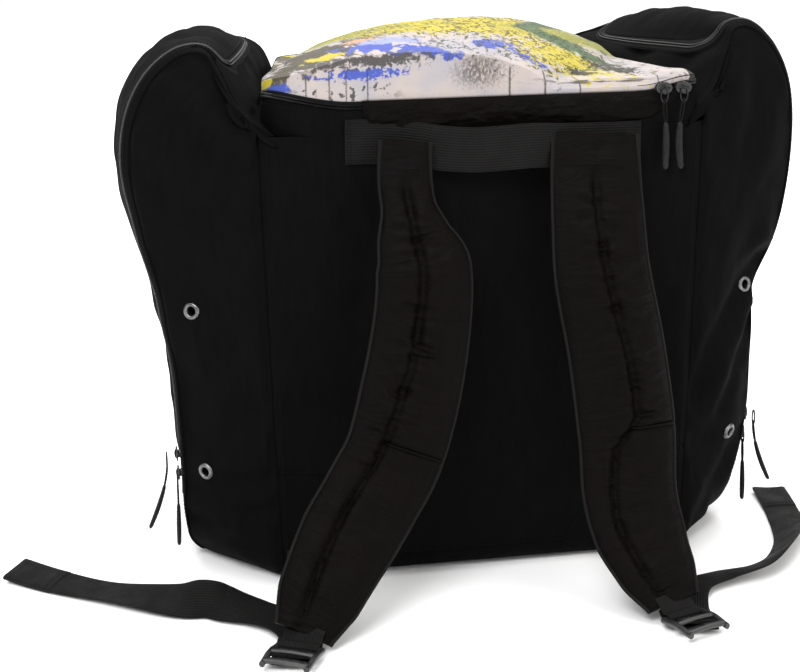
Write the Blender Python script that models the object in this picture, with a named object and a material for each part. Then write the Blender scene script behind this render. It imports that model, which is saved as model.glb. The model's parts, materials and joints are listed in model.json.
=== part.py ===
"""Ski boot backpack: a centre compartment under a domed lid, and two ear-shaped boot pockets.

Metres, +Z up. The origin is the centre of the base's underside, on the floor. The back panel, with
the haul handle and the shoulder straps, faces -Y. Left and right are as in a view of that panel, so
the right-hand pocket is at +X.
"""

import math

import bmesh
import bpy
import numpy as np
from mathutils import Matrix, Vector

# ---- Driving dimensions -------------------------------------------------------------------------
BACK_Y = -0.130  # outer face of the back panel
FRONT_Y = 0.127  # outer face of the front panel at its edges
SEAM_HALF_LOW, SEAM_HALF_TOP = 0.143, 0.150  # back panel's side seams, half width at floor and top
FRONT_HALF_LOW, FRONT_HALF_TOP = 0.120, 0.109  # front panel's side seams
WALL_TOP = 0.3085  # where the panels end under the rim
PANEL = 0.003  # padded fabric wall
LINER = 0.002  # single lined fabric wall
BASE_THICK = 0.004
BOARD_HALF = 0.080
FLOOR_GAP = 0.0005  # between the base and what stands on it
SEAM_GAP = 0.0017  # kept each side of a seam, so that thick panels stay clear of each other
GUSSET_WIDTH = 0.178  # across a pocket's outer side, from its back seam to its front seam
TUCK = 0.005  # gusset edge to the first thing sewn on it

ZIP_WIDTH, ZIP_THICK = 0.0032, 0.0020  # one half of a zip: tape edge and coil
ZIP_GAP = 0.0005
ZIP_END = 0.0050  # from a door's fold line up to where the pocket's half of its zip starts
DOOR_ZIP_START = 0.0920  # along the gusset: the door's own half starts above the parked sliders
DOOR_SILL = 0.0470  # height, along the gusset, of the line that a pocket door folds on
DOOR_INSET = 0.0132  # gusset edge to door edge
DOOR_TOP = 0.4020  # distance along the gusset to the door's top edge
DOOR_CORNER = 0.0250

LID_HALF_REAR, LID_HALF_FRONT = 0.1485, 0.1060
LID_REAR_Y, LID_FRONT_Y = -0.1290, 0.1230
LID_CORNERS = (0.012, 0.030, 0.034, 0.034)  # rear right, rear left, front left, front right
LID_SEAT = 0.3350  # top of the lid's zip
LID_EDGE = LID_SEAT + 0.0010
LID_RISE = 0.0400
RIM_LOW, RIM_TOP = 0.3105, 0.3284
HINGE_BAND_LEFT, HINGE_BAND_RIGHT = -0.0780, 0.1010
HINGE_BAND_LOW, HINGE_BAND_TOP = 0.3070, 0.3300
LID_AXIS = (0.0, -0.1315, 0.3335)

WEBBING, WEBBING_THICK = 0.0250, 0.0016
HANDLE_WIDTH, HANDLE_THICK = 0.0290, 0.0022
LOWER_WEBBING_REACH = 0.82  # of the way from the back panel to the buckle's middle
ANCHOR = (0.0360, 0.0030, 0.0220)  # the sewn patch that the lower webbing comes out of
PAD_WIDTH, PAD_THICK = 0.0620, 0.0110
STRAP_AXIS_Y, STRAP_AXIS_Z = -0.1350, 0.3030
BUCKLE_WIDTH, BUCKLE_LENGTH, BUCKLE_THICK = 0.0340, 0.0300, 0.0055
GROMMET_OUTER, GROMMET_HOLE = 0.0060, 0.0030
GROMMETS = ((0.188, 0.62), (0.078, 0.80))  # seam height, and share of the way out to the gusset

SLIDER = (0.0080, 0.0110, 0.0042)  # across the zip, along it, thick
SLIDER_LIFT = 0.0008  # from the coils
LOWER_SLIDER, UPPER_SLIDER = 0.0690, 0.0840  # distances along the gusset
UPPER_PULL = (0.0062, 0.0140)  # how far its hinge stands off the slider, and its grip splays
LID_SLIDERS = (0.1200, 0.1335)  # X
TAB = (0.0050, 0.0120, 0.0012)
TAB_GAP = 0.0004  # from a slider to its tab, and from the tab to its grip
TAB_HEAD = 0.0008  # how far the tab reaches above its hinge
GRIP_RADIUS, GRIP_LENGTH = 0.0019, 0.0460

# One row for each level of a pocket: X, Y, Z of its back seam; X, Y, Z of its front seam; how far
# the gusset bulges between them; and the height of the matching point on the panels' side seams.
POCKET = (
    (0.196, -0.060, 0.005, 0.182, 0.062, 0.005, 0.002, 0.005),
    (0.201, -0.078, 0.045, 0.184, 0.078, 0.045, 0.003, 0.045),
    (0.203, -0.088, 0.095, 0.185, 0.085, 0.095, 0.005, 0.093),
    (0.206, -0.090, 0.150, 0.188, 0.087, 0.150, 0.006, 0.146),
    (0.214, -0.090, 0.195, 0.195, 0.088, 0.195, 0.009, 0.187),
    (0.225, -0.090, 0.240, 0.205, 0.088, 0.240, 0.011, 0.222),
    (0.229, -0.091, 0.280, 0.211, 0.088, 0.280, 0.013, 0.252),
    (0.226, -0.092, 0.313, 0.208, 0.088, 0.311, 0.013, 0.273),
    (0.214, -0.094, 0.338, 0.197, 0.089, 0.334, 0.012, 0.286),
    (0.196, -0.098, 0.355, 0.176, 0.092, 0.348, 0.011, 0.294),
    (0.180, -0.103, 0.358, 0.153, 0.097, 0.353, 0.009, 0.299),
    (0.172, -0.111, 0.345, 0.134, 0.105, 0.351, 0.006, 0.303),
    (0.164, -0.119, 0.328, 0.120, 0.113, 0.342, 0.003, 0.307),
    (0.153, -0.126, 0.317, 0.111, 0.121, 0.323, 0.001, 0.310),
)

BLACK = ((0.012, 0.012, 0.013), 0.85)
NYLON = ((0.020, 0.017, 0.016), 0.60)


# ---- Curves and surfaces ------------------------------------------------------------------------
def smooth_through(points, at):
    """A Catmull-Rom curve through the points, read at values from 0 to 1."""
    points = np.asarray(points, float)
    last = len(points) - 1
    place = np.clip(np.asarray(at, float) * last, 0, last - 1e-9)
    i = place.astype(int)
    f = (place - i)[..., None]
    p0, p1 = points[np.maximum(i - 1, 0)], points[i]
    p2, p3 = points[i + 1], points[np.minimum(i + 2, last)]
    return 0.5 * (
        2 * p1
        + (p2 - p0) * f
        + (2 * p0 - 5 * p1 + 4 * p2 - p3) * f**2
        + (3 * p1 - p0 - 3 * p2 + p3) * f**3
    )


def even_steps(points, count):
    """Places from 0 to 1 that are evenly spaced by length along the smooth curve."""
    dense = np.linspace(0, 1, 400)
    steps = np.linalg.norm(np.diff(smooth_through(points, dense), axis=0), axis=1)
    length = np.concatenate([[0], np.cumsum(steps)])
    return np.interp(np.linspace(0, length[-1], count), length, dense)


def length_table(columns):
    dense = np.linspace(0, 1, 800)
    line = smooth_through(POCKET, dense)[:, columns]
    steps = np.linalg.norm(np.diff(line, axis=0), axis=1)
    return dense, np.concatenate([[0], np.cumsum(steps)])


PLACES, LENGTHS = length_table([0, 1, 2])
GUSSET_LENGTH = LENGTHS[-1]


def gusset(along, across):
    """A point of the right-hand gusset, by distance along its back seam and across from it."""
    u = np.interp(along, LENGTHS, PLACES)
    row = smooth_through(POCKET, u)
    ahead = smooth_through(POCKET, np.clip(u + 0.002, 0, 1))
    behind = smooth_through(POCKET, np.clip(u - 0.002, 0, 1))
    t = np.asarray(across / GUSSET_WIDTH)[..., None]
    point = row[..., 0:3] * (1 - t) + row[..., 3:6] * t
    run = (ahead - behind)[..., [0, 2]]
    run = run / np.linalg.norm(run, axis=-1, keepdims=True)
    bulge = row[..., 6:7] * np.maximum(4 * t * (1 - t), 0) ** 0.6
    point[..., 0:1] += run[..., 1:2] * bulge
    point[..., 2:3] -= run[..., 0:1] * bulge
    return point


def gusset_normal(along, across):
    e = 0.001
    run = gusset(along + e, across) - gusset(along - e, across)
    side = gusset(along, across + e) - gusset(along, across - e)
    normal = np.cross(side, run)
    return normal / np.linalg.norm(normal, axis=-1, keepdims=True)


def side_seam(height, rear):
    """The seam between the right-hand pocket and the back or front panel."""
    share = height / WALL_TOP
    low, top = (SEAM_HALF_LOW, SEAM_HALF_TOP) if rear else (FRONT_HALF_LOW, FRONT_HALF_TOP)
    y = np.full_like(height, BACK_Y if rear else FRONT_Y - 0.002)
    return np.stack([low + (top - low) * share, y, height], axis=-1)


def pocket_face(u, out, rear):
    """A pocket's back or front face: from the panel's side seam (out = 0) to the gusset (1)."""
    row = smooth_through(POCKET, u)
    edge = row[..., 0:3] if rear else row[..., 3:6]
    seam = side_seam(row[..., 7], rear)
    out = np.asarray(out)[..., None]
    puff = 0.007 * 4 * out * (1 - out) * np.sin(np.pi * np.clip(u, 0.02, 0.98))[..., None] ** 0.5
    facing = np.array([0.5, -0.86, 0.0]) if rear else np.array([0.45, 0.89, 0.0])
    return seam * (1 - out) + edge * out + facing * puff


def lid_outline(inset, count=96):
    """The lid's rounded outline in plan, from the rear right corner, anticlockwise from above."""
    corners = (
        (LID_HALF_REAR, LID_REAR_Y),
        (LID_HALF_FRONT, LID_FRONT_Y),
        (-LID_HALF_FRONT, LID_FRONT_Y),
        (-LID_HALF_REAR, LID_REAR_Y),
    )
    radii = (LID_CORNERS[0], LID_CORNERS[3], LID_CORNERS[2], LID_CORNERS[1])
    line = []
    for k in range(4):
        here = Vector(corners[k])
        before = (Vector(corners[k - 1]) - here).normalized()
        after = (Vector(corners[(k + 1) % 4]) - here).normalized()
        half = before.angle(after) / 2
        centre = here + (before + after).normalized() * radii[k] / math.sin(half)
        start = here + before * radii[k] / math.tan(half) - centre
        turn = math.pi - 2 * half
        for j in range(9):
            line.append(centre + Matrix.Rotation(turn * j / 8, 2) @ start * (1 - inset / radii[k]))
    line = np.array([tuple(point) for point in line] + [tuple(line[0])])
    length = np.concatenate([[0], np.cumsum(np.linalg.norm(np.diff(line, axis=0), axis=1))])
    at = np.linspace(0, length[-1], count, endpoint=False)
    return np.stack([np.interp(at, length, line[:, k]) for k in range(2)], axis=-1)


# ---- Making objects -----------------------------------------------------------------------------
def clear_scene():
    for obj in list(bpy.data.objects):
        bpy.data.objects.remove(obj, do_unlink=True)


def material(name, look, metallic=0.0):
    colour, roughness = look
    made = bpy.data.materials.new(name)
    made.use_nodes = True
    shader = made.node_tree.nodes["Principled BSDF"]
    shader.inputs["Base Color"].default_value = (*colour, 1.0)
    shader.inputs["Roughness"].default_value = roughness
    shader.inputs["Metallic"].default_value = metallic
    made.diffuse_color = (*colour, 1.0)
    return made


def add(name, points, faces, look, metallic=0.0, flat=False):
    mesh = bpy.data.meshes.new(name)
    mesh.from_pydata([tuple(map(float, p)) for p in points], [], faces)
    mesh.materials.append(material(name, look, metallic))
    if not flat:
        mesh.shade_smooth()
        mesh.set_sharp_from_angle(angle=math.radians(40))
    obj = bpy.data.objects.new(name, mesh)
    bpy.context.scene.collection.objects.link(obj)
    return obj


def pivot(name, place):
    """An empty on a joint's axis, which carries the pieces that turn or slide there."""
    empty = bpy.data.objects.new(name, None)
    empty.empty_display_size = 0.01
    empty.location = place
    bpy.context.scene.collection.objects.link(empty)
    return empty


def carry(empty, *pieces):
    for piece in pieces:
        piece.parent = empty
        piece.matrix_parent_inverse = Matrix.Translation(-empty.location)


def mirrored(points, side):
    points = np.array(points, float)
    points[..., 0] *= side
    return points


def quads(rows, columns, wrap=False):
    span = columns if wrap else columns - 1
    return [
        (
            i * columns + j,
            i * columns + (j + 1) % columns,
            (i + 1) * columns + (j + 1) % columns,
            (i + 1) * columns + j,
        )
        for i in range(rows - 1)
        for j in range(span)
    ]


def outward(points, faces, inside):
    """The faces, turned so that they look away from the point inside."""
    points = np.asarray(points)
    total = 0.0
    for face in faces:
        a, b, c = points[face[0]], points[face[1]], points[face[2]]
        total += np.dot(np.cross(b - a, c - a), a - np.asarray(inside))
    return faces if total > 0 else [tuple(reversed(face)) for face in faces]


def panel(name, grid, look, thickness=PANEL, inside=(0.0, 0.0, 0.18)):
    """A sheet of fabric over a grid of points, thickened inwards."""
    rows, columns = grid.shape[:2]
    points = grid.reshape(-1, 3)
    obj = add(name, points, outward(points, quads(rows, columns), inside), look)
    solidify = obj.modifiers.new("Thickness", "SOLIDIFY")
    solidify.thickness = thickness
    solidify.offset = -1
    return obj


def frames_along(points, normals):
    """Side and normal vectors of a ribbon at each of its points."""
    points, normals = np.asarray(points, float), np.asarray(normals, float)
    run = np.gradient(points, axis=0)
    run /= np.linalg.norm(run, axis=1, keepdims=True)
    side = np.cross(run, normals)
    side /= np.linalg.norm(side, axis=1, keepdims=True)
    return side, np.cross(side, run)


def ribbon(name, points, normals, width, thickness, look, section=None):
    """A closed band along points: a flat webbing or zip, or any other cross-section."""
    points = np.asarray(points, float)
    side, normal = frames_along(points, normals)
    width = np.broadcast_to(np.asarray(width, float), len(points))
    section = section or ((-0.5, -0.5), (0.5, -0.5), (0.5, 0.5), (-0.5, 0.5))
    ring = np.array(section)
    grid = (
        points[:, None]
        + side[:, None] * ring[None, :, :1] * width[:, None, None]
        + normal[:, None] * ring[None, :, 1:] * thickness
    )
    corners = len(ring)
    faces = quads(len(points), corners, wrap=True)
    last = (len(points) - 1) * corners
    faces.append(tuple(reversed(range(corners))))
    faces.append(tuple(last + k for k in range(corners)))
    obj = add(name, grid.reshape(-1, 3), faces, look)
    turn_out(obj)
    return obj


def turn_out(obj):
    """Makes every face of a closed mesh point outwards."""
    work = bmesh.new()
    work.from_mesh(obj.data)
    bmesh.ops.recalc_face_normals(work, faces=work.faces)
    work.to_mesh(obj.data)
    work.free()


def block(name, centre, axes, size, look, metallic=0.0, bevel=0.0006):
    """A bevelled box whose edges run along three given axes."""
    points = []
    for corner in ((-1, -1), (1, -1), (1, 1), (-1, 1)):
        for end in (-1, 1):
            step = np.array([corner[0], corner[1], end]) * np.array(size) / 2
            points.append(np.asarray(centre) + step @ np.asarray(axes))
    faces = [(0, 2, 4, 6), (1, 7, 5, 3)] + [
        (2 * k, 2 * k + 1, (2 * k + 3) % 8, (2 * k + 2) % 8) for k in range(4)
    ]
    obj = add(name, points, faces, look, metallic)
    turn_out(obj)
    edge = obj.modifiers.new("Edge", "BEVEL")
    edge.width = bevel
    edge.segments = 1
    return obj


def rounded_section(sides, squareness):
    """A padded cross-section one unit wide and thick, with full edges."""
    turns = [2 * math.pi * (k + 0.5) / sides for k in range(sides)]
    return tuple(
        (
            0.5 * math.copysign(abs(math.cos(a)) ** squareness, math.cos(a)),
            0.5 * math.copysign(abs(math.sin(a)) ** squareness, math.sin(a)),
        )
        for a in turns
    )


# ---- The shell ----------------------------------------------------------------------------------
def base():
    corners = [
        (SEAM_HALF_LOW, BACK_Y + 0.001),
        (POCKET[0][0], POCKET[0][1]),
        (POCKET[0][3], POCKET[0][4]),
        (FRONT_HALF_LOW, FRONT_Y - 0.001),
    ]
    outline = corners + [(-x, y) for x, y in reversed(corners)]
    points = [(x, y, z) for z in (0.0, BASE_THICK) for x, y in outline]
    count = len(outline)
    faces = [tuple(reversed(range(count))), tuple(range(count, 2 * count))]
    faces += [(k, (k + 1) % count, count + (k + 1) % count, count + k) for k in range(count)]
    plate = add("base_panel", points, faces, BLACK)
    turn_out(plate)

    board, inset = 0.002, 0.012
    block(
        "base_board",
        (0, 0, BASE_THICK + FLOOR_GAP + board / 2),
        np.eye(3),
        (2 * BOARD_HALF, FRONT_Y - BACK_Y - 2 * inset, board),
        ((0.03, 0.03, 0.03), 0.5),
    )


def flat_wall(name, rear, top, crown, look):
    """The back or front panel, between its two side seams, with a soft outward crown."""
    heights = np.linspace(BASE_THICK + FLOOR_GAP, top, 9)
    across = np.linspace(-1, 1, 9)
    seam = side_seam(heights, rear)
    half = seam[:, 0] - SEAM_GAP
    swell = np.sin(np.pi * heights / WALL_TOP).clip(0)[:, None] * (1 - across[None] ** 2)
    x = half[:, None] * across[None]
    face = BACK_Y if rear else FRONT_Y
    y = np.full_like(x, face) + (-crown if rear else crown) * swell
    return panel(name, np.stack([x, y, np.repeat(heights[:, None], 9, 1)], axis=-1), look)


def walls():
    flat_wall("back_panel", True, HINGE_BAND_LOW - SEAM_GAP, 0.0, BLACK)
    flat_wall("front_panel", False, WALL_TOP, 0.008, ((0.45, 0.46, 0.50), 0.8))
    foam = 0.006
    face = BACK_Y + PANEL + FLOOR_GAP + foam / 2
    half, low, high = SEAM_HALF_LOW - 0.020, 0.030, 0.292
    block(
        "back_foam",
        (0, face, (low + high) / 2),
        np.eye(3),
        (2 * half, foam, high - low),
        ((0.25, 0.25, 0.26), 0.9),
    )


def grommet(side, name, level, out):
    """An eyelet through a pocket's back face; the panel gets a hole for it."""
    e = 0.004
    u = np.interp(level, [row[7] for row in POCKET], np.linspace(0, 1, len(POCKET)))
    here = pocket_face(np.array(u), np.array(out), True)
    up = pocket_face(np.array(u + e), np.array(out), True) - here
    away = pocket_face(np.array(u), np.array(out + e), True) - here
    axis = np.cross(up, away)
    axis = axis / np.linalg.norm(axis)
    if axis[1] > 0:
        axis = -axis
    here, axis = mirrored(here, side), mirrored(axis, side)
    turn = Vector(axis).to_track_quat("Z", "Y").to_matrix().to_4x4()
    place = Matrix.Translation(Vector(here)) @ turn
    wall = GROMMET_HOLE + 0.0009
    profile = (
        (GROMMET_HOLE, -0.0042),
        (GROMMET_HOLE, 0.0012),
        (GROMMET_HOLE + 0.0010, 0.0018),
        (GROMMET_OUTER - 0.0010, 0.0018),
        (GROMMET_OUTER, 0.0010),
        (GROMMET_OUTER, 0.0005),
        (wall, 0.0005),
        (wall, -0.0042),
    )
    steps = 16
    points = [
        place @ Vector((r * math.cos(a), r * math.sin(a), z))
        for a in (2 * math.pi * k / steps for k in range(steps))
        for r, z in profile
    ]
    rings = quads(steps + 1, len(profile), wrap=True)
    count = steps * len(profile)
    faces = [tuple(index % count for index in face) for face in rings]
    ring = add(name, points, faces, ((0.42, 0.42, 0.43), 0.35), metallic=1.0)
    turn_out(ring)

    radius, reach = wall + 0.0005, 0.02
    cutter_mesh = bpy.data.meshes.new(name + "_hole")
    work = bmesh.new()
    bmesh.ops.create_cone(
        work, cap_ends=True, segments=16, radius1=radius, radius2=radius, depth=reach, matrix=place
    )
    work.to_mesh(cutter_mesh)
    work.free()
    cutter = bpy.data.objects.new(name + "_hole", cutter_mesh)
    cutter.hide_render = True
    cutter.display_type = "WIRE"
    bpy.context.scene.collection.objects.link(cutter)
    return cutter


def pocket_walls(side, word):
    """One boot pocket's fixed walls: back, front, top, sill and the partition inside."""
    rise = np.linspace(0, 1, 19)[:, None]
    reach = np.linspace(0.025, 1, 7)[None]
    for rear, face in ((True, "back"), (False, "front")):
        grid = pocket_face(np.broadcast_to(rise, (19, 7)), np.broadcast_to(reach, (19, 7)), rear)
        wall = panel(f"{word}_pocket_{face}", mirrored(grid, side), BLACK)
        if rear:
            for place, (level, out) in zip(("upper", "lower"), GROMMETS):
                cutter = grommet(side, f"{word}_{place}_grommet", level, out)
                hole = wall.modifiers.new("Hole", "BOOLEAN")
                hole.operation = "DIFFERENCE"
                hole.object = cutter

    low = door_path(DOOR_INSET - TUCK)
    share = np.linspace(0, 1, 9)[:, None]
    along = low[None, :, 0] * (1 - share) + (GUSSET_LENGTH - 0.0005) * share
    grid = gusset(along, np.broadcast_to(low[None, :, 1], along.shape))
    panel(f"{word}_pocket_top", mirrored(grid, side), BLACK, inside=(0.16 * side, 0, 0.2))

    across = np.linspace(TUCK, GUSSET_WIDTH - TUCK, 9)[None]
    along = np.linspace(0.0, DOOR_SILL - 0.0010, 5)[:, None]
    shape = (5, 9)
    grid = gusset(np.broadcast_to(along, shape), np.broadcast_to(across, shape))
    panel(f"{word}_pocket_sill", mirrored(grid, side), BLACK)

    deep = np.linspace(0, 1, 11)[None]
    high = np.linspace(BASE_THICK + FLOOR_GAP, WALL_TOP, 5)[:, None]
    slack = 0.034 * 4 * deep * (1 - deep)
    rear_x = SEAM_HALF_LOW + (SEAM_HALF_TOP - SEAM_HALF_LOW) * high / WALL_TOP - 0.0035
    front_x = FRONT_HALF_LOW + (FRONT_HALF_TOP - FRONT_HALF_LOW) * high / WALL_TOP - 0.0035
    x = rear_x * (1 - deep) + front_x * deep - slack
    rear_y, front_y = BACK_Y + PANEL + 0.0025, FRONT_Y - PANEL - 0.0035
    y = np.broadcast_to(rear_y + deep * (front_y - rear_y), x.shape)
    grid = np.stack([x, y, np.broadcast_to(high, x.shape)], axis=-1)
    panel(f"{word}_partition", mirrored(grid, side), ((0.05, 0.05, 0.055), 0.8), LINER)


# ---- Pocket doors and their zips ----------------------------------------------------------------
def corner_steps():
    return np.linspace(0, math.pi / 2, 9)


def door_path(offset, legs_from=None):
    """The open U that runs round a door at an offset outside its edge, or only the U's top."""
    left, right = DOOR_INSET - offset, GUSSET_WIDTH - DOOR_INSET + offset
    top, radius = DOOR_TOP + offset, DOOR_CORNER + offset
    turn = corner_steps()
    near = np.column_stack(
        [top - radius + radius * np.sin(turn), left + radius - radius * np.cos(turn)]
    )
    if legs_from is not None:
        low = np.linspace(legs_from, top - radius, 18)[:-1]
        near = np.vstack([np.column_stack([low, np.full_like(low, left)]), near])
    far = near[::-1] * [1, -1] + [0, left + right]
    across = np.linspace(near[-1, 1], far[0, 1], 8)[1:-1]
    return np.vstack([near, np.column_stack([np.full_like(across, top), across]), far])


def gusset_band(name, inner, start, side):
    """One half of a door's zip, lying in the gusset between two offsets from the door."""
    edges = [door_path(inner + outwards, start) for outwards in (0.0, ZIP_WIDTH)]
    look = ((0.01, 0.01, 0.01), 0.5)
    grid = np.stack([gusset(edge[:, 0], edge[:, 1]) for edge in edges], axis=1)
    return panel(name, mirrored(grid, side), look, ZIP_THICK, inside=(0.16 * side, 0, 0.2))


def door_axis(side):
    """A point on the line that a door folds on, and the line's direction."""
    ends = gusset(np.array([DOOR_SILL] * 2), np.array([DOOR_INSET, GUSSET_WIDTH - DOOR_INSET]))
    middle = gusset(np.array(DOOR_SILL), np.array(GUSSET_WIDTH / 2))
    run = (ends[1] - ends[0]) / np.linalg.norm(ends[1] - ends[0])
    return mirrored(middle, side), mirrored(run, side)


def pocket_door(side, word):
    turn = corner_steps()
    straight = np.linspace(DOOR_SILL, DOOR_TOP - DOOR_CORNER, 18)[:-1]
    along = np.concatenate([straight, DOOR_TOP - DOOR_CORNER * (1 - np.sin(turn))])
    inset = np.concatenate([0 * straight, DOOR_CORNER * (1 - np.cos(turn))]) + DOOR_INSET
    share = np.linspace(0, 1, 10)[None]
    across = inset[:, None] * (1 - share) + (GUSSET_WIDTH - inset[:, None]) * share
    grid = gusset(np.broadcast_to(along[:, None], across.shape), across)
    door = panel(f"{word}_pocket_door", mirrored(grid, side), BLACK)
    door_zip = gusset_band(f"{word}_door_zip", ZIP_GAP, DOOR_ZIP_START, side)
    gusset_band(f"{word}_pocket_zip", 2 * ZIP_GAP + ZIP_WIDTH, DOOR_SILL + ZIP_END, side)
    carry(pivot(f"{word}_door_fold", door_axis(side)[0]), door, door_zip)


def slider_and_pull(name, place, across, along, normal, stand=0.0, splay=0.0):
    """A zip slider, with its pull tab and grip hanging down, splayed outwards at the bottom."""
    centre = place + normal * (SLIDER_LIFT + SLIDER[2] / 2)
    slider = block(
        f"{name}_slider",
        centre,
        np.array([across, along, normal]),
        SLIDER,
        ((0.02, 0.02, 0.02), 0.4),
        metallic=0.6,
    )
    carry(pivot(f"{name}_slide", centre), slider)
    outside = np.array([normal[0], normal[1], 0.0])
    outside = outside / np.linalg.norm(outside)
    level = np.cross(outside, [0, 0, 1])
    hang = centre + outside * (SLIDER[2] / 2 + TAB_GAP + TAB[2] / 2 + stand)
    frame = np.array([level, [0, 0, 1], outside])
    tab_centre = hang - np.array([0, 0, TAB[1] / 2 - TAB_HEAD])
    tab = block(
        f"{name}_tab", tab_centre, frame, TAB, ((0.02, 0.02, 0.02), 0.4), 0.6, bevel=0.0003
    )
    top = tab_centre - np.array([0, 0, TAB[1] / 2 + TAB_GAP])
    steps = np.linspace(0, 1, 5)[:, None]
    grip = ribbon(
        f"{name}_grip",
        top - steps * np.array([0, 0, GRIP_LENGTH]) + steps**2 * outside * splay,
        np.repeat([outside], 5, 0),
        2 * GRIP_RADIUS * np.array([0.6, 1.0, 1.1, 1.2, 0.8]),
        2 * GRIP_RADIUS,
        ((0.01, 0.01, 0.01), 0.6),
        rounded_section(8, 0.8),
    )
    carry(pivot(f"{name}_pull_hinge", hang), tab, grip)
    return hang, level


def pocket_sliders(side, word):
    pulls = (("lower", LOWER_SLIDER, 0.0, 0.0), ("upper", UPPER_SLIDER, *UPPER_PULL))
    for name, along, stand, splay in pulls:
        across = DOOR_INSET - SLIDER[0] / 2 - ZIP_GAP
        at, over = np.array(along), np.array(across)
        place = gusset(at, over)
        normal = gusset_normal(at, over)
        run = gusset(at + 0.002, over) - gusset(at - 0.002, over)
        run = run / np.linalg.norm(run)
        sideways = np.cross(run, normal)
        place, run, normal, sideways = (
            mirrored(vector, side) for vector in (place, run, normal, sideways)
        )
        slider_and_pull(f"{word}_{name}", place, sideways, run, normal, stand, splay)


# ---- The lid ------------------------------------------------------------------------------------
def lid_side_path(inset):
    """The zip's path round the lid: from the band's right end, round the front, to its left end."""
    line = lid_outline(inset, 240)
    rear = (line[:, 1] < LID_REAR_Y + inset + 1e-4) & (line[:, 0] > HINGE_BAND_LEFT - 0.001)
    rear &= line[:, 0] < HINGE_BAND_RIGHT + 0.001
    after = (np.flatnonzero(rear)[-1] + 1) % len(line)
    kept = np.roll(line, -after, axis=0)[: len(line) - rear.sum()]
    return kept[::3]


def lid_band(name, z_low, z_high, thickness, inset, look):
    path = lid_side_path(inset + thickness / 2)
    run = np.gradient(path, axis=0)
    normal = np.stack([run[:, 1], -run[:, 0], np.zeros(len(path))], axis=-1)
    points = np.column_stack([path, np.full(len(path), (z_low + z_high) / 2)])
    return ribbon(name, points, normal, z_high - z_low, thickness, look)


def lid():
    rings = 9
    around = lid_outline(0.0, 60)
    middle = np.array([0.0, -0.004])
    points, faces = [], []
    for k in range(rings):
        reach = math.sin(math.pi / 2 * (rings - k) / rings)
        height = LID_RISE * (1 - reach**2.4) ** (1 / 2.6)
        for x, y in middle + (around - middle) * reach:
            points.append((x, y, LID_EDGE + height))
    faces = quads(rings, len(around), wrap=True)
    top = len(points)
    points.append((middle[0], middle[1], LID_EDGE + LID_RISE))
    last = (rings - 1) * len(around)
    faces += [(last + j, last + (j + 1) % len(around), top) for j in range(len(around))]
    dome = add("lid_panel", points, outward(points, faces, (0, 0, 0.2)), ((0.45, 0.46, 0.50), 0.8))
    solidify = dome.modifiers.new("Thickness", "SOLIDIFY")
    solidify.thickness = PANEL
    solidify.offset = -1

    zip_look = ((0.02, 0.02, 0.02), 0.5)
    split = (RIM_TOP + LID_SEAT) / 2
    lid_band("top_rim", RIM_LOW, RIM_TOP, PANEL, 0.0, BLACK)
    lid_band("lid_zip_lower", RIM_TOP + ZIP_GAP, split - ZIP_GAP / 2, ZIP_THICK, 0.0003, zip_look)
    upper = lid_band("lid_zip_upper", split + ZIP_GAP / 2, LID_SEAT - ZIP_GAP, ZIP_THICK, 0.0003, zip_look)
    carry(pivot("lid_hinge", LID_AXIS), dome, upper)

    x = np.linspace(HINGE_BAND_LEFT + 0.003, HINGE_BAND_RIGHT - 0.003, 12)
    centre = (HINGE_BAND_LOW + HINGE_BAND_TOP) / 2
    points = np.stack([x, np.full_like(x, LID_REAR_Y + 0.001), np.full_like(x, centre)], axis=-1)
    ribbon(
        "lid_hinge_band",
        points,
        np.repeat([[0.0, -1.0, 0.0]], 12, 0),
        HINGE_BAND_TOP - HINGE_BAND_LOW,
        0.006,
        NYLON,
        rounded_section(10, 0.6),
    )
    for name, x in zip(("lid_inner", "lid_outer"), LID_SLIDERS):
        place = np.array([x, LID_REAR_Y, split])
        slider_and_pull(name, place, np.array([0, 0, 1.0]), np.array([1.0, 0, 0]), np.array([0, -1.0, 0]))


# ---- Handle, straps and webbing -----------------------------------------------------------------
def haul_handle():
    line = ((-0.035, -0.1345, 0.293), (-0.014, -0.144, 0.296), (0.008, -0.148, 0.297),
            (0.024, -0.144, 0.296), (0.0345, -0.1345, 0.293))  # fmt: skip
    points = smooth_through(line, even_steps(line, 17))
    run = np.gradient(points, axis=0)
    normal = np.stack([run[:, 1], -run[:, 0], np.zeros(len(run))], axis=-1)
    handle = ribbon("haul_handle", points, normal, HANDLE_WIDTH, HANDLE_THICK, NYLON)
    carry(pivot("handle_fold", (0.0, -0.1345, 0.3085)), handle)


STRAPS = {
    "left": {
        "line": ((-0.056, -0.1420, 0.299), (-0.058, -0.1490, 0.277), (-0.055, -0.1600, 0.248),
                 (-0.050, -0.1690, 0.220), (-0.056, -0.1760, 0.172), (-0.072, -0.1860, 0.115),
                 (-0.090, -0.1950, 0.086), (-0.110, -0.2070, 0.060), (-0.129, -0.2220, 0.033),
                 (-0.143, -0.2370, 0.0125)),
        "top_width": 0.034,
        "buckle": (-0.1560, -0.2545, 0.0062),
        "anchor": (-0.122, 0.016),
    },
    "right": {
        "line": ((0.071, -0.1420, 0.299), (0.069, -0.1500, 0.274), (0.068, -0.1610, 0.245),
                 (0.069, -0.1690, 0.215), (0.077, -0.1770, 0.166), (0.082, -0.1870, 0.113),
                 (0.082, -0.1960, 0.074), (0.086, -0.2080, 0.048), (0.092, -0.2240, 0.029),
                 (0.099, -0.2400, 0.0125)),
        "top_width": 0.060,
        "buckle": (0.1060, -0.2600, 0.0062),
        "anchor": (0.120, 0.016),
    },
}  # fmt: skip

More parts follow.
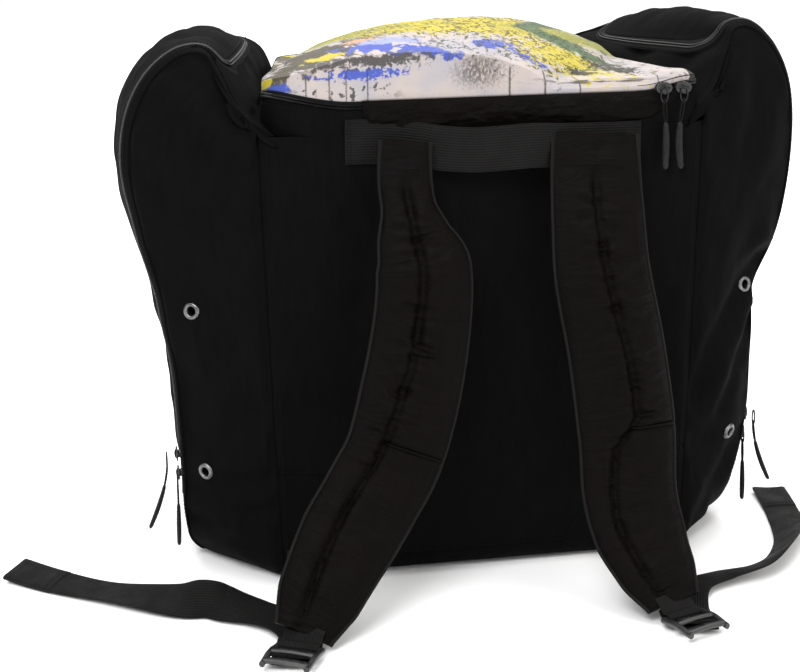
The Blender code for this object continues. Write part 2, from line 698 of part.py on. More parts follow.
# The free ends of the adjuster webbing, on the floor: each point and how far the band leans over.
TAILS = {
    "left": (
        (-0.1740, -0.2300, 0.0100, 35), (-0.1830, -0.2040, 0.0070, 22), (-0.1980, -0.1740, 0.0055, 18),
        (-0.2250, -0.1480, 0.0030, 8), (-0.2600, -0.1200, 0.0025, 3), (-0.2950, -0.0930, 0.0040, -10),
        (-0.3240, -0.0690, 0.0050, -14),
    ),
    "right": (
        (0.1290, -0.2330, 0.0100, -50), (0.1420, -0.2110, 0.0131, -80), (0.1620, -0.1930, 0.0136, -86),
        (0.1850, -0.1800, 0.0136, -84), (0.2060, -0.1670, 0.0126, -66), (0.2220, -0.1420, 0.0075, -28),
        (0.2320, -0.1060, 0.0030, -6), (0.2400, -0.0700, 0.0020, 0), (0.2480, -0.0380, 0.0020, 0),
    ),
}  # fmt: skip


def leaning(points, degrees):
    """Ribbon normals that start upright and lean over about the ribbon's own run."""
    run = np.gradient(points, axis=0)
    normals = []
    for step, angle in zip(run, degrees):
        level = Vector((step[1], -step[0], 0)).normalized()
        upright = Vector((0, 0, 1))
        turn = math.radians(angle)
        normals.append(tuple(upright * math.cos(turn) + level * math.sin(turn)))
    return np.array(normals)


def ladder_lock(name, centre, along, look):
    """A ladder-lock buckle: a plate with two slots, its long bars across the strap."""
    along = np.array([along[0], along[1], 0.0])
    along = along / np.linalg.norm(along)
    across = np.cross([0, 0, 1], along)
    wide = (-0.5, -0.37, 0.37, 0.5)
    long = (-0.5, -0.33, -0.14, 0.06, 0.25, 0.5)
    slots = {(1, 1), (1, 3)}
    points, index, faces = [], {}, []

    def corner(i, j, level):
        if (i, j, level) not in index:
            index[i, j, level] = len(points)
            lift = BUCKLE_THICK * (level - 0.5)
            step = across * wide[i] * BUCKLE_WIDTH + along * long[j] * BUCKLE_LENGTH
            points.append(np.asarray(centre) + step + np.array([0, 0, lift]))
        return index[i, j, level]

    cells = {(i, j) for i in range(3) for j in range(5)} - slots
    for i, j in sorted(cells):
        ring = ((i, j), (i + 1, j), (i + 1, j + 1), (i, j + 1))
        faces.append(tuple(corner(*c, 1) for c in ring))
        faces.append(tuple(corner(*c, 0) for c in reversed(ring)))
        for k, (di, dj) in enumerate(((0, -1), (1, 0), (0, 1), (-1, 0))):
            if (i + di, j + dj) not in cells:
                a, b = ring[k], ring[(k + 1) % 4]
                faces.append((corner(*a, 0), corner(*b, 0), corner(*b, 1), corner(*a, 1)))
    obj = add(name, points, faces, look)
    turn_out(obj)
    return obj


def shoulder_strap(word, plan):
    line = np.array(plan["line"])
    count = 25
    points = smooth_through(line, even_steps(line, count))
    run = np.gradient(points, axis=0)
    normals = np.cross(run, [1.0, 0.0, 0.0])
    normals = np.where(normals[:, 1:2] > 0, -normals, normals)
    share = np.linspace(0, 1, count)
    width = np.interp(
        share,
        [0.0, 0.10, 0.24, 0.85, 1.0],
        [plan["top_width"], plan["top_width"], PAD_WIDTH, PAD_WIDTH * 0.92, 0.034],
    )
    pad = ribbon(
        f"{word}_strap_pad", points, normals, width, PAD_THICK, NYLON, rounded_section(12, 0.55)
    )
    end = points[-1]
    buckle = ladder_lock(
        f"{word}_ladder_lock",
        plan["buckle"],
        np.array(plan["buckle"]) - end,
        ((0.015, 0.015, 0.015), 0.4),
    )
    carry(pivot(f"{word}_buckle_hinge", tuple(end)), buckle)

    tail = np.array(TAILS[word])
    places = even_steps(tail[:, :3], 25)
    path = smooth_through(tail, places)
    band = ribbon(
        f"{word}_webbing_tail", path[:, :3], leaning(path[:, :3], path[:, 3]), WEBBING, WEBBING_THICK, NYLON
    )
    carry(pivot(f"{word}_strap_swing", (0, STRAP_AXIS_Y, STRAP_AXIS_Z)), pad, band)

    x, z = plan["anchor"]
    centre = (x, BACK_Y - FLOOR_GAP - ANCHOR[1] / 2, z)
    block(f"{word}_strap_anchor", centre, np.eye(3), ANCHOR, NYLON)
    start = np.array([x, BACK_Y - 0.0075, 0.0060])
    wall, buckle_xy = np.array([x, BACK_Y]), np.array(plan["buckle"][:2])
    finish = np.array([*(wall + (buckle_xy - wall) * LOWER_WEBBING_REACH), 0.0015])
    near, middle = start + (finish - start) / 5, (start + finish) / 2
    line = (start, (*near[:2], 0.0022), (*middle[:2], 0.0014), finish)
    path = smooth_through(line, even_steps(line, 9))
    upright = np.repeat([[0.0, 0.0, 1.0]], 9, 0)
    ribbon(f"{word}_lower_webbing", path, upright, WEBBING, WEBBING_THICK, NYLON)


def main():
    clear_scene()
    base()
    walls()
    for side, word in ((-1, "left"), (1, "right")):
        pocket_walls(side, word)
        pocket_door(side, word)
        pocket_sliders(side, word)
    lid()
    haul_handle()
    for word, plan in STRAPS.items():
        shoulder_strap(word, plan)


main()
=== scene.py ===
"""Looks of the ski boot backpack: cloth, straps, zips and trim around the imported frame."""

import json
import math

import bpy
import numpy as np
from mathutils import Matrix, Vector, noise


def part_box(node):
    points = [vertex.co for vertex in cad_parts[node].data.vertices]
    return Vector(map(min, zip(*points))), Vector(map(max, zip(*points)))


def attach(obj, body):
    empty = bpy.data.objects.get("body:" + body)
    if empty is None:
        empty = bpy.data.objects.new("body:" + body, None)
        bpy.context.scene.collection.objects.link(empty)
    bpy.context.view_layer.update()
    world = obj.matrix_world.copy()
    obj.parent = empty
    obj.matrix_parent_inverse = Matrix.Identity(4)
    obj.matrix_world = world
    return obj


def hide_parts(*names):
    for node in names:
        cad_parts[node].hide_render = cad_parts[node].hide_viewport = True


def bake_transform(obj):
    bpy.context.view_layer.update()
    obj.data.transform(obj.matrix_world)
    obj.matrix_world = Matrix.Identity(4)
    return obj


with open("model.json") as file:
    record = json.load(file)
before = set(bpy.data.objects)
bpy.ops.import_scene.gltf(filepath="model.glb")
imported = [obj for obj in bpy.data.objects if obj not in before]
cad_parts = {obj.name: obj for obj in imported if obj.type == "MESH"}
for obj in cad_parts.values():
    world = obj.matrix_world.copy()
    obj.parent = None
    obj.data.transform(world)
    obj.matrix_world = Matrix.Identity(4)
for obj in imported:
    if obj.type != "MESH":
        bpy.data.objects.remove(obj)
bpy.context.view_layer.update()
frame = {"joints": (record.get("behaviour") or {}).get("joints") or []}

# ---- Driving dimensions --------------------------------------------------------------------------
# Seams, doors, zips and the lid's outline are as in the frame. The rounded foot, the lid's dome, the
# hinge band's outline and the counts of rows and columns belong to the looks alone.
BACK_Y, FRONT_Y = -0.130, 0.127
SEAM_HALF = {True: (0.143, 0.150), False: (0.120, 0.109)}  # rear or not: half widths, low and top
WALL_TOP = 0.3085
GUSSET_WIDTH = 0.178
DOOR_SILL, DOOR_INSET, DOOR_TOP, DOOR_CORNER = 0.0470, 0.0132, 0.4020, 0.0250
COIL_OFFSET = 0.00395  # from a door's edge to the middle of its zip
ZIP_STARTS = {"pocket": 0.0520, "door": 0.0920}
EDGE_IN = 0.0060  # how far the back and front cloths turn onto the gusset
LID_HALF_REAR, LID_HALF_FRONT = 0.1485, 0.1060
LID_REAR_Y, LID_FRONT_Y = -0.1290, 0.1230
LID_CORNERS = (0.012, 0.034, 0.034, 0.030)  # rear right, front right, front left, rear left
LID_SPLIT, LID_EDGE = 0.3317, 0.3360
RIM_FOOT, RIM_TOP = 0.3070, 0.3300
HINGE_BAND = (-0.080, 0.103)  # the hinge's ends in X
HINGE_CLOTH_Y = -0.1250
DOME_RISE, DOME_POWER = 0.0362, 0.7179  # of the lid, over an oval in plan
DOME_CENTRE, DOME_AXES, DOME_SHEAR = (-0.0047, -0.0280), (0.1243, 0.153), 0.4352
FOOT_RADIUS = 0.0215
FOOT_HALVES = (0.20, 0.13)  # half length and width of the oval that says which way is out at the foot
INSIDE = (0, 0, 0.18)  # a point in the bag's middle, for telling which way is out
SHELL_THICK, CLOTH_THICK, THIN_THICK = 0.0014, 0.0022, 0.0018
COIL_GAP = 0.0009  # from the middle of a zip to each half's coil
RING_DROP, GRIP_LENGTH = 0.0105, 0.046  # of a pull: its ring's height, and cord and grip together
SLIDER_SIZE = (0.0080, 0.0110, 0.0042)  # across, along and out
POCKET_ROWS, POCKET_COLUMNS = 250, 46  # of the grids for the pockets' back and front cloths
PAD_ROWS, PAD_COLUMNS = 300, 61  # of the grids over the shoulder straps
PANEL_FOOT = 0.006  # height at which the back and front panels start
FLOOR_GAP = 0.0004
BAND_END = 0.138  # the hinge band's pointed right end
BAND_FOOT = ((-0.082, -0.058, -0.004, 0.077, 0.112, 0.138), (0.3128, 0.3098, 0.3084, 0.3092, 0.3118, 0.3292))
WEBBING = 0.025

# Rows of a pocket's gusset, from foot to rim: back edge, front edge, bulge, and height on the side seam.
POCKET = np.array((
    (0.196, -0.060, 0.005, 0.182, 0.062, 0.005, 0.002, 0.005),
    (0.201, -0.078, 0.045, 0.184, 0.078, 0.045, 0.003, 0.045),
    (0.203, -0.088, 0.095, 0.185, 0.085, 0.095, 0.005, 0.093),
    (0.206, -0.090, 0.150, 0.188, 0.087, 0.150, 0.006, 0.146),
    (0.214, -0.090, 0.195, 0.195, 0.088, 0.195, 0.009, 0.187),
    (0.225, -0.090, 0.240, 0.205, 0.088, 0.240, 0.011, 0.222),
    (0.229, -0.091, 0.280, 0.211, 0.088, 0.280, 0.013, 0.252),
    (0.226, -0.092, 0.313, 0.208, 0.088, 0.311, 0.013, 0.273),
    (0.214, -0.094, 0.338, 0.197, 0.089, 0.334, 0.012, 0.286),
    (0.196, -0.098, 0.355, 0.176, 0.092, 0.348, 0.011, 0.294),
    (0.180, -0.103, 0.358, 0.153, 0.097, 0.353, 0.009, 0.299),
    (0.172, -0.111, 0.345, 0.134, 0.105, 0.351, 0.006, 0.303),
    (0.164, -0.119, 0.328, 0.120, 0.113, 0.342, 0.003, 0.307),
    (0.153, -0.126, 0.317, 0.111, 0.121, 0.323, 0.001, 0.310),
))  # fmt: skip

# Soft folds of the pockets' back faces: points in X and Z, then width and depth.
FOLDS = {
    "left": (
        (((-0.178, 0.372), (-0.175, 0.351), (-0.168, 0.331), (-0.156, 0.316)), 0.009, 0.0030),
        (((-0.205, 0.358), (-0.180, 0.335), (-0.158, 0.310)), 0.010, 0.0022),
        (((-0.213, 0.326), (-0.190, 0.300), (-0.162, 0.276)), 0.011, 0.0026),
        (((-0.214, 0.290), (-0.185, 0.262), (-0.153, 0.238)), 0.012, 0.0022),
        (((-0.205, 0.230), (-0.175, 0.190), (-0.165, 0.140)), 0.014, 0.0018),
        (((-0.203, 0.060), (-0.165, 0.073), (-0.146, 0.077)), 0.007, 0.0018),
        (((-0.200, 0.036), (-0.175, 0.046), (-0.148, 0.054)), 0.006, 0.0016),
        (((-0.198, 0.100), (-0.176, 0.104), (-0.158, 0.122)), 0.008, 0.0014),
    ),
    "right": (
        (((0.166, 0.378), (0.169, 0.353), (0.163, 0.332)), 0.009, 0.0028),
        (((0.200, 0.330), (0.187, 0.290), (0.178, 0.250)), 0.012, 0.0030),
        (((0.168, 0.315), (0.159, 0.280), (0.156, 0.225)), 0.010, 0.0026),
        (((0.206, 0.205), (0.186, 0.180), (0.164, 0.150), (0.152, 0.112)), 0.009, 0.0046),
        (((0.205, 0.160), (0.186, 0.128), (0.176, 0.098)), 0.007, 0.0026),
        (((0.200, 0.075), (0.178, 0.045), (0.158, 0.018)), 0.008, 0.0022),
        (((0.208, 0.265), (0.196, 0.235), (0.188, 0.200)), 0.009, 0.0020),
    ),
}

# Each strap's middle line, its width by share of the way down, its buckle's middle, its anchor's X, and
# the share of the way at which a seam crosses it.
STRAPS = {
    "left": {
        "line": ((-0.056, -0.1400, 0.3045), (-0.058, -0.1480, 0.277), (-0.055, -0.1600, 0.248),
                 (-0.050, -0.1690, 0.220), (-0.056, -0.1760, 0.172), (-0.072, -0.1860, 0.115),
                 (-0.090, -0.1950, 0.086), (-0.110, -0.2070, 0.060), (-0.129, -0.2220, 0.033),
                 (-0.143, -0.2370, 0.0125)),
        "width": ((0, 0.033), (0.13, 0.034), (0.24, 0.061), (0.5, 0.065), (0.8, 0.062), (0.93, 0.052),
                  (1, 0.036)),
        "buckle": (-0.1525, -0.2545, 0.0062),
        "anchor": -0.122,
        "cross_seam": 0.60,
    },
    "right": {
        "line": ((0.071, -0.1400, 0.3045), (0.069, -0.1500, 0.274), (0.068, -0.1610, 0.245),
                 (0.069, -0.1690, 0.215), (0.077, -0.1770, 0.166), (0.082, -0.1870, 0.113),
                 (0.082, -0.1960, 0.074), (0.086, -0.2080, 0.048), (0.092, -0.2240, 0.029),
                 (0.099, -0.2400, 0.0125)),
        "width": ((0, 0.058), (0.15, 0.061), (0.3, 0.064), (0.6, 0.066), (0.85, 0.062), (0.94, 0.052),
                  (1, 0.036)),
        "buckle": (0.1060, -0.2600, 0.0062),
        "anchor": 0.120,
        "cross_seam": 0.62,
    },
}  # fmt: skip

# The free webbing past each buckle: X, Y, Z and lean in degrees.
TAILS = {
    "left": (
        (-0.1440, -0.2300, 0.0050, 0), (-0.1520, -0.2010, 0.0060, -6), (-0.1680, -0.1830, 0.0070, -14),
        (-0.1850, -0.1760, 0.0108, -40), (-0.1990, -0.1710, 0.0132, -70), (-0.2200, -0.1580, 0.0092, -32),
        (-0.2580, -0.1270, 0.0045, -6), (-0.2950, -0.0990, 0.0052, -10), (-0.3240, -0.0740, 0.0060, -12),
    ),
    "right": (
        (0.1130, -0.2300, 0.0040, 0), (0.1270, -0.2010, 0.0050, -6), (0.1520, -0.1880, 0.0060, -12),
        (0.1800, -0.1830, 0.0080, -24), (0.2010, -0.1690, 0.0105, -40), (0.2190, -0.1440, 0.0100, -36),
        (0.2320, -0.1120, 0.0060, -16), (0.2430, -0.0720, 0.0035, -4), (0.2510, -0.0290, 0.0025, 0),
    ),
}  # fmt: skip

POCKET_PULLS = {"lower": (0.0690, 0.0010, 0.0012), "upper": (0.0840, 0.0140, -0.0010)}  # place, splay, bend
LID_PULLS = {"inner": (0.1200, -0.0016), "outer": (0.1335, 0.0030)}  # x, bend
EYELETS = {"left": ((-0.196, 0.191), (-0.191, 0.077)), "right": ((0.1965, 0.187), (0.1850, 0.081))}  # x, z


# ---- Curves and surfaces -------------------------------------------------------------------------
def smooth_through(points, at):
    """A Catmull-Rom curve through the points, read at values from 0 to 1."""
    points = np.asarray(points, float)
    last = len(points) - 1
    place = np.clip(np.asarray(at, float) * last, 0, last - 1e-9)
    i = place.astype(int)
    f = (place - i)[..., None]
    p0, p1 = points[np.maximum(i - 1, 0)], points[i]
    p2, p3 = points[i + 1], points[np.minimum(i + 2, last)]
    return 0.5 * (
        2 * p1
        + (p2 - p0) * f
        + (2 * p0 - 5 * p1 + 4 * p2 - p3) * f**2
        + (3 * p1 - p0 - 3 * p2 + p3) * f**3
    )


def lengths_along(line):
    steps = np.linalg.norm(np.diff(line, axis=0), axis=1)
    return np.concatenate([[0], np.cumsum(steps)])


def even_steps(points, count):
    dense = np.linspace(0, 1, 500)
    length = lengths_along(smooth_through(np.asarray(points)[:, :3], dense))
    return np.interp(np.linspace(0, length[-1], count), length, dense)


def resampled(line, count, measured=None):
    """The polyline's points again, evenly spaced by all their columns or by the first few."""
    line = np.asarray(line, float)
    length = lengths_along(line[:, :measured])
    at = np.linspace(0, length[-1], count)
    return np.stack([np.interp(at, length, line[:, k]) for k in range(line.shape[1])], axis=-1)


def smoothstep(low, high, value):
    t = np.clip((np.asarray(value, float) - low) / (high - low), 0, 1)
    return t * t * (3 - 2 * t)


def unit(vectors):
    return vectors / np.maximum(np.linalg.norm(vectors, axis=-1, keepdims=True), 1e-12)


PLACES = np.linspace(0, 1, 1200)
LENGTHS = lengths_along(smooth_through(POCKET, PLACES)[:, :3])
GUSSET_LENGTH = LENGTHS[-1]


def gusset(along, across):
    """A point of the right-hand gusset, by distance along its back seam and across from it."""
    u = np.interp(along, LENGTHS, PLACES)
    row = smooth_through(POCKET, u)
    ahead = smooth_through(POCKET, np.clip(u + 0.002, 0, 1))
    behind = smooth_through(POCKET, np.clip(u - 0.002, 0, 1))
    t = np.asarray(across / GUSSET_WIDTH)[..., None]
    point = row[..., 0:3] * (1 - t) + row[..., 3:6] * t
    run = unit((ahead - behind)[..., [0, 2]])
    bulge = row[..., 6:7] * np.maximum(4 * t * (1 - t), 0) ** 0.6
    point[..., 0:1] += run[..., 1:2] * bulge
    point[..., 2:3] -= run[..., 0:1] * bulge
    return point


def gusset_normal(along, across):
    e = 0.001
    run = gusset(along + e, across) - gusset(along - e, across)
    side = gusset(along, across + e) - gusset(along, across - e)
    return unit(np.cross(side, run))


def side_seam(height, rear):
    low, top = SEAM_HALF[rear]
    y = np.full_like(height, BACK_Y if rear else FRONT_Y - 0.002)
    return np.stack([low + (top - low) * height / WALL_TOP, y, height], axis=-1)


def pocket_face(u, out, rear):
    """A pocket's back or front face: from the panel's side seam (out = 0) to the gusset (1)."""
    row = smooth_through(POCKET, u)
    edge = row[..., 0:3] if rear else row[..., 3:6]
    seam = side_seam(row[..., 7], rear)
    out = np.asarray(out)[..., None]
    puff = 0.007 * 4 * out * (1 - out) * np.sin(np.pi * np.clip(u, 0.02, 0.98))[..., None] ** 0.5
    facing = np.array([0.5, -0.86, 0.0]) if rear else np.array([0.45, 0.89, 0.0])
    return seam * (1 - out) + edge * out + facing * puff


def door_path(offset, legs_from=None):
    """The open U that runs round a door at an offset outside its edge, or only the U's top."""
    left, right = DOOR_INSET - offset, GUSSET_WIDTH - DOOR_INSET + offset
    top, radius = DOOR_TOP + offset, DOOR_CORNER + offset
    turn = np.linspace(0, math.pi / 2, 24)
    near = np.column_stack([top - radius + radius * np.sin(turn), left + radius - radius * np.cos(turn)])
    if legs_from is not None:
        low = np.linspace(legs_from, top - radius, 60)[:-1]
        near = np.vstack([np.column_stack([low, np.full_like(low, left)]), near])
    far = near[::-1] * [1, -1] + [0, left + right]
    across = np.linspace(near[-1, 1], far[0, 1], 40)[1:-1]
    return np.vstack([near, np.column_stack([np.full_like(across, top), across]), far])


def tucked(points):
    """The foot of the walls, rounded under: everything below FOOT_RADIUS moves in towards the base."""
    points = np.array(points, float)
    x, y, z = points[..., 0], points[..., 1], points[..., 2]
    rise = np.clip(FOOT_RADIUS - z, 0, FOOT_RADIUS * 0.985)
    inset = FOOT_RADIUS - np.sqrt(FOOT_RADIUS**2 - rise**2)
    out = [np.abs(value / half) ** 3 * np.sign(value) / half for value, half in zip((x, y), FOOT_HALVES)]
    out = unit(np.stack(out, -1))
    points[..., :2] -= out * inset[..., None]
    return points


def settled(points, side, tuck=True):
    """The two pockets don't sit alike: the right one stands taller, and is slimmer at its shoulder."""
    points = np.array(points, float)
    x, z = points[..., 0].copy(), points[..., 2].copy()
    reach = smoothstep(0.150, 0.195, x)
    if side > 0:
        high = smoothstep(0.24, 0.345, z) * smoothstep(0.135, 0.165, x)
        points[..., 2] += 0.0080 * high + 0.0040 * high * smoothstep(0.170, 0.205, x)
        points[..., 2] -= 0.0032 * smoothstep(0.330, 0.350, z) * smoothstep(0.178, 0.155, x)
        points[..., 0] -= 0.0068 * reach * np.exp(-(((z - 0.184) / 0.022) ** 2))
        points[..., 0] += 0.0024 * reach * np.exp(-(((z - 0.085) / 0.040) ** 2))
        points[..., 0] += 0.0034 * smoothstep(0.340, 0.356, z) * smoothstep(0.185, 0.160, x)
    else:
        points[..., 0] += 0.0030 * reach * smoothstep(0.245, 0.290, z)
        points[..., 0] += 0.0022 * reach * smoothstep(0.200, 0.170, z)
        points[..., 2] += 0.0034 * smoothstep(0.300, 0.350, z) * smoothstep(0.140, 0.165, x)
        points[..., 0] += 0.0018 * reach * smoothstep(0.070, 0.035, z)
    if tuck:
        points = tucked(points)
    points[..., 0] *= side
    return points


def lid_outline(inset, count):
    """The lid's rounded outline in plan, from the rear right corner, anticlockwise from above."""
    corners = (
        (LID_HALF_REAR, LID_REAR_Y),
        (LID_HALF_FRONT, LID_FRONT_Y),
        (-LID_HALF_FRONT, LID_FRONT_Y),
        (-LID_HALF_REAR, LID_REAR_Y),
    )
    line = []
    for k, radius in enumerate(LID_CORNERS):
        here = Vector(corners[k])
        before = (Vector(corners[k - 1]) - here).normalized()
        after = (Vector(corners[(k + 1) % 4]) - here).normalized()
        half = before.angle(after) / 2
        centre = here + (before + after).normalized() * radius / math.sin(half)
        start = here + before * radius / math.tan(half) - centre
        turn = math.pi - 2 * half
        for j in range(17):
            line.append(centre + Matrix.Rotation(turn * j / 16, 2) @ start * (1 - inset / radius))
    line = np.array([tuple(point) for point in line] + [tuple(line[0])])
    return resampled(line, count + 1)[:-1]


def lid_drop(x, y):
    """The lid's lower edge hangs low along the rear and lifts at both rear corners."""
    rear = smoothstep(-0.085, -0.122, y)
    lift = 0.0085 * smoothstep(-0.088, -0.150, x) + 0.0058 * smoothstep(0.106, 0.140, x)
    return rear * (lift - 0.0031)


def zip_drop(x, y):
    """The zip under that edge, which shows a little lower left of the hinge band."""
    return lid_drop(x, y) - 0.0024 * smoothstep(-0.085, -0.122, y) * smoothstep(-0.070, -0.085, x)


# ---- Noise and folds -----------------------------------------------------------------------------
def soft_noise(points, size, seed, octaves):
    """Smooth noise of about one unit at each point; size is one length, or one for each axis."""
    flat = np.asarray(points, float).reshape(-1, 3) / np.asarray(size) + seed * 3.71
    values = [noise.fractal(Vector(p), 1.0, 2.0, octaves) for p in flat]
    return np.array(values).reshape(np.asarray(points).shape[:-1])


def distance_to(x, z, line):
    """Distance from each point to a polyline in the XZ plane."""
    best = np.full(np.shape(x), 1e9)
    for (ax, az), (bx, bz) in zip(line, line[1:]):
        dx, dz = bx - ax, bz - az
        t = np.clip(((x - ax) * dx + (z - az) * dz) / (dx * dx + dz * dz), 0, 1)
        best = np.minimum(best, np.hypot(x - ax - t * dx, z - az - t * dz))
    return best


def fold_depth(points, folds):
    """Valleys along the fold lines, with a low swelling on both sides."""
    x, z = points[..., 0], points[..., 2]
    total = np.zeros(x.shape)
    for line, width, depth in folds:
        far = distance_to(x, z, line)
        total -= depth * np.exp(-((far / width) ** 2))
        total += 0.45 * depth * np.exp(-(((far - 1.7 * width) / width) ** 2))
    return total


# ---- Meshes --------------------------------------------------------------------------------------
def grid_normals(grid):
    return unit(np.cross(np.gradient(grid, axis=1), np.gradient(grid, axis=0)))


def facing_out(grid, inside):
    """1 if the grid's normals look away from a point inside, or else -1."""
    normals = grid_normals(grid)
    away = grid - np.asarray(inside, float)
    return 1.0 if (normals * away).sum() > 0 else -1.0


def mesh_object(name, points, faces, looks, uv=None, flat=False):
    mesh = bpy.data.meshes.new(name)
    mesh.from_pydata(np.asarray(points, float).tolist(), [], faces)
    for look in looks:
        mesh.materials.append(LOOKS[look])
    if uv is not None:
        loops = np.zeros(len(mesh.loops), np.int32)
        mesh.loops.foreach_get("vertex_index", loops)
        layer = mesh.uv_layers.new(name="UVMap")
        layer.data.foreach_set("uv", np.asarray(uv, np.float32)[loops].ravel())
    if not flat:
        mesh.shade_smooth()
        mesh.set_sharp_from_angle(angle=math.radians(55))
    obj = bpy.data.objects.new(name, mesh)
    bpy.context.scene.collection.objects.link(obj)
    return obj


def grid_faces(rows, columns, wrap=False, flip=False, keep=None):
    faces = []
    for i in range(rows - 1):
        for j in range(columns if wrap else columns - 1):
            if keep is not None and not keep[i, j]:
                continue
            k = (j + 1) % columns
            face = (i * columns + j, i * columns + k, (i + 1) * columns + k, (i + 1) * columns + j)
            faces.append(face[::-1] if flip else face)
    return faces


def grid_uv(grid):
    """Distances across and along the grid, in metres, so that a weave keeps its true scale."""
    across = np.linalg.norm(np.diff(grid, axis=1, prepend=grid[:, :1]), axis=2).cumsum(axis=1)
    along = np.linalg.norm(np.diff(grid, axis=0, prepend=grid[:1]), axis=2).cumsum(axis=0)
    middle = across[:, across.shape[1] // 2][:, None]
    return np.stack([across - middle, along], axis=-1).reshape(-1, 2)


def thicken(obj, looks, thickness):
    """Gives a sheet its thickness, inwards, with the last of its looks on the inner side."""
    solidify = obj.modifiers.new("Thickness", "SOLIDIFY")
    solidify.thickness = thickness
    solidify.offset = -1
    solidify.material_offset = len(looks) - 1
    return obj


def cloth(name, grid, looks, thickness=CLOTH_THICK, inside=INSIDE, keep=None):
    """A sheet of fabric over a grid of points, with its lining on the inner side."""
    flip = facing_out(grid, inside) < 0
    faces = grid_faces(*grid.shape[:2], flip=flip, keep=keep)
    return thicken(mesh_object(name, grid.reshape(-1, 3), faces, looks, grid_uv(grid)), looks, thickness)


def moved_out(grid, amount, inside):
    """The grid, moved along its outward normals."""
    return grid + grid_normals(grid) * facing_out(grid, inside) * np.asarray(amount)[..., None]


def frames_along(points, normals):
    run = unit(np.gradient(np.asarray(points, float), axis=0))
    side = unit(np.cross(run, normals))
    return side, np.cross(side, run)


def swept(name, points, normals, section, look, closed=False):
    """A closed form along points. The section is (sides, 2), or one for each point, in metres."""
    points = np.asarray(points, float)
    normals = np.broadcast_to(np.asarray(normals, float), points.shape)
    side, normal = frames_along(points, normals)
    section = np.broadcast_to(np.asarray(section, float), (len(points), *np.shape(section)[-2:]))
    grid = points[:, None] + side[:, None] * section[..., :1] + normal[:, None] * section[..., 1:]
    rows, sides = grid.shape[:2]
    if closed:
        grid = np.concatenate([grid, grid[:1]])
        rows += 1
    faces = grid_faces(rows, sides, wrap=True)
    uv = np.column_stack([
        section[np.minimum(np.arange(rows), len(points) - 1)][..., 0].ravel(),
        np.repeat(lengths_along(grid.mean(axis=1)), sides),
    ])  # fmt: skip
    if not closed:
        last = (rows - 1) * sides
        faces += [tuple(reversed(range(sides))), tuple(last + k for k in range(sides))]
    return mesh_object(name, grid.reshape(-1, 3), faces, [look], uv)


def round_section(radius, sides, flatten=1.0):
    turn = np.linspace(0, 2 * math.pi, sides, endpoint=False)
    return np.column_stack([np.cos(turn), np.sin(turn) * flatten]) * radius


def band_section(width, thickness, columns):
    """A webbing's section: flat, with slightly thicker rounded edges."""
    across = np.linspace(-1, 1, columns)
    half = thickness / 2 * (1 - 0.5 * np.abs(across) ** 14)
    top = np.column_stack([across * width / 2, half])
    return np.vstack([top, top[::-1] * [1, -1]])


def joined(name, objects):
    """The objects as one mesh."""
    bpy.ops.object.select_all(action="DESELECT")
    for obj in objects:
        obj.select_set(True)
    bpy.context.view_layer.objects.active = objects[0]
    bpy.ops.object.join()
    objects[0].name = name
    return objects[0]


def stitches(name, path, normals, pitch=0.0036):
    """A row of thread stitches lying on a surface along a path."""
    path = np.asarray(path, float)
    length = lengths_along(path)[-1]
    count = max(2, int(length / pitch))
    both = np.hstack([path, np.broadcast_to(np.asarray(normals, float), path.shape)])
    line = resampled(both, count, 3)
    centre, normal = line[:, :3], unit(line[:, 3:])
    run = unit(np.gradient(centre, axis=0))
    side = unit(np.cross(run, normal))
    half, radius = 0.0012, 0.00028
    corners = [run * -half, side * radius, normal * radius, side * -radius, run * half]
    points = np.stack([centre + normal * radius * 0.4 + c for c in corners], axis=1).reshape(-1, 3)
    faces = []
    for k in range(count):
        b = 5 * k
        faces += [(b, b + 1, b + 2), (b, b + 2, b + 3), (b + 4, b + 2, b + 1), (b + 4, b + 3, b + 2)]
        faces += [(b, b + 3, b + 1), (b + 4, b + 1, b + 3)]
    return mesh_object(name, points, faces, ["thread"])


def place(obj, body, slot, *nodes):
    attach(obj, body)
    dress(obj, slot, *nodes)


def dress(obj, slot, *nodes):
    if nodes:
        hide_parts(*nodes)


# ---- Materials -----------------------------------------------------------------------------------
def node(tree, kind, ins=None, **settings):
    made = tree.nodes.new("ShaderNode" + kind)
    for key, value in settings.items():
        setattr(made, key, value)
    for key, value in (ins or {}).items():
        if isinstance(value, bpy.types.NodeSocket):
            tree.links.new(value, made.inputs[key])
        else:
            made.inputs[key].default_value = value
    return made


def calc(tree, operation, a, b=0.0, c=0.0):
    return node(tree, "Math", {0: a, 1: b, 2: c}, operation=operation).outputs[0]


def times(tree, a, b):
    return calc(tree, "MULTIPLY", a, b)


def mixed(tree, factor, a, b):
    return node(tree, "Mix", {0: factor, 6: a, 7: b}, data_type="RGBA").outputs[2]


def remap(tree, value, low, high, to_low=0.0, to_high=1.0):
    ins = {0: value, 1: low, 2: high, 3: to_low, 4: to_high}
    return node(tree, "MapRange", ins, interpolation_type="SMOOTHSTEP").outputs[0]


def noise_of(tree, vector, scale, detail, stretch=None, distortion=0.0):
    if stretch:
        vector = node(tree, "VectorMath", {0: vector, 1: stretch}, operation="MULTIPLY").outputs[0]
    ins = {"Vector": vector, "Scale": scale, "Detail": detail, "Distortion": distortion}
    return node(tree, "TexNoise", ins).outputs[0]


def bump(tree, height, distance, strength, normal=None):
    ins = {"Height": height, "Distance": distance, "Strength": strength}
    if normal is not None:
        ins["Normal"] = normal
    return node(tree, "Bump", ins).outputs[0]


def shade(colour):
    return (*colour, 1.0)


def blank(name):
    made = bpy.data.materials.new(name)
    made.use_nodes = True
    tree = made.node_tree
    return made, tree, tree.nodes["Principled BSDF"]


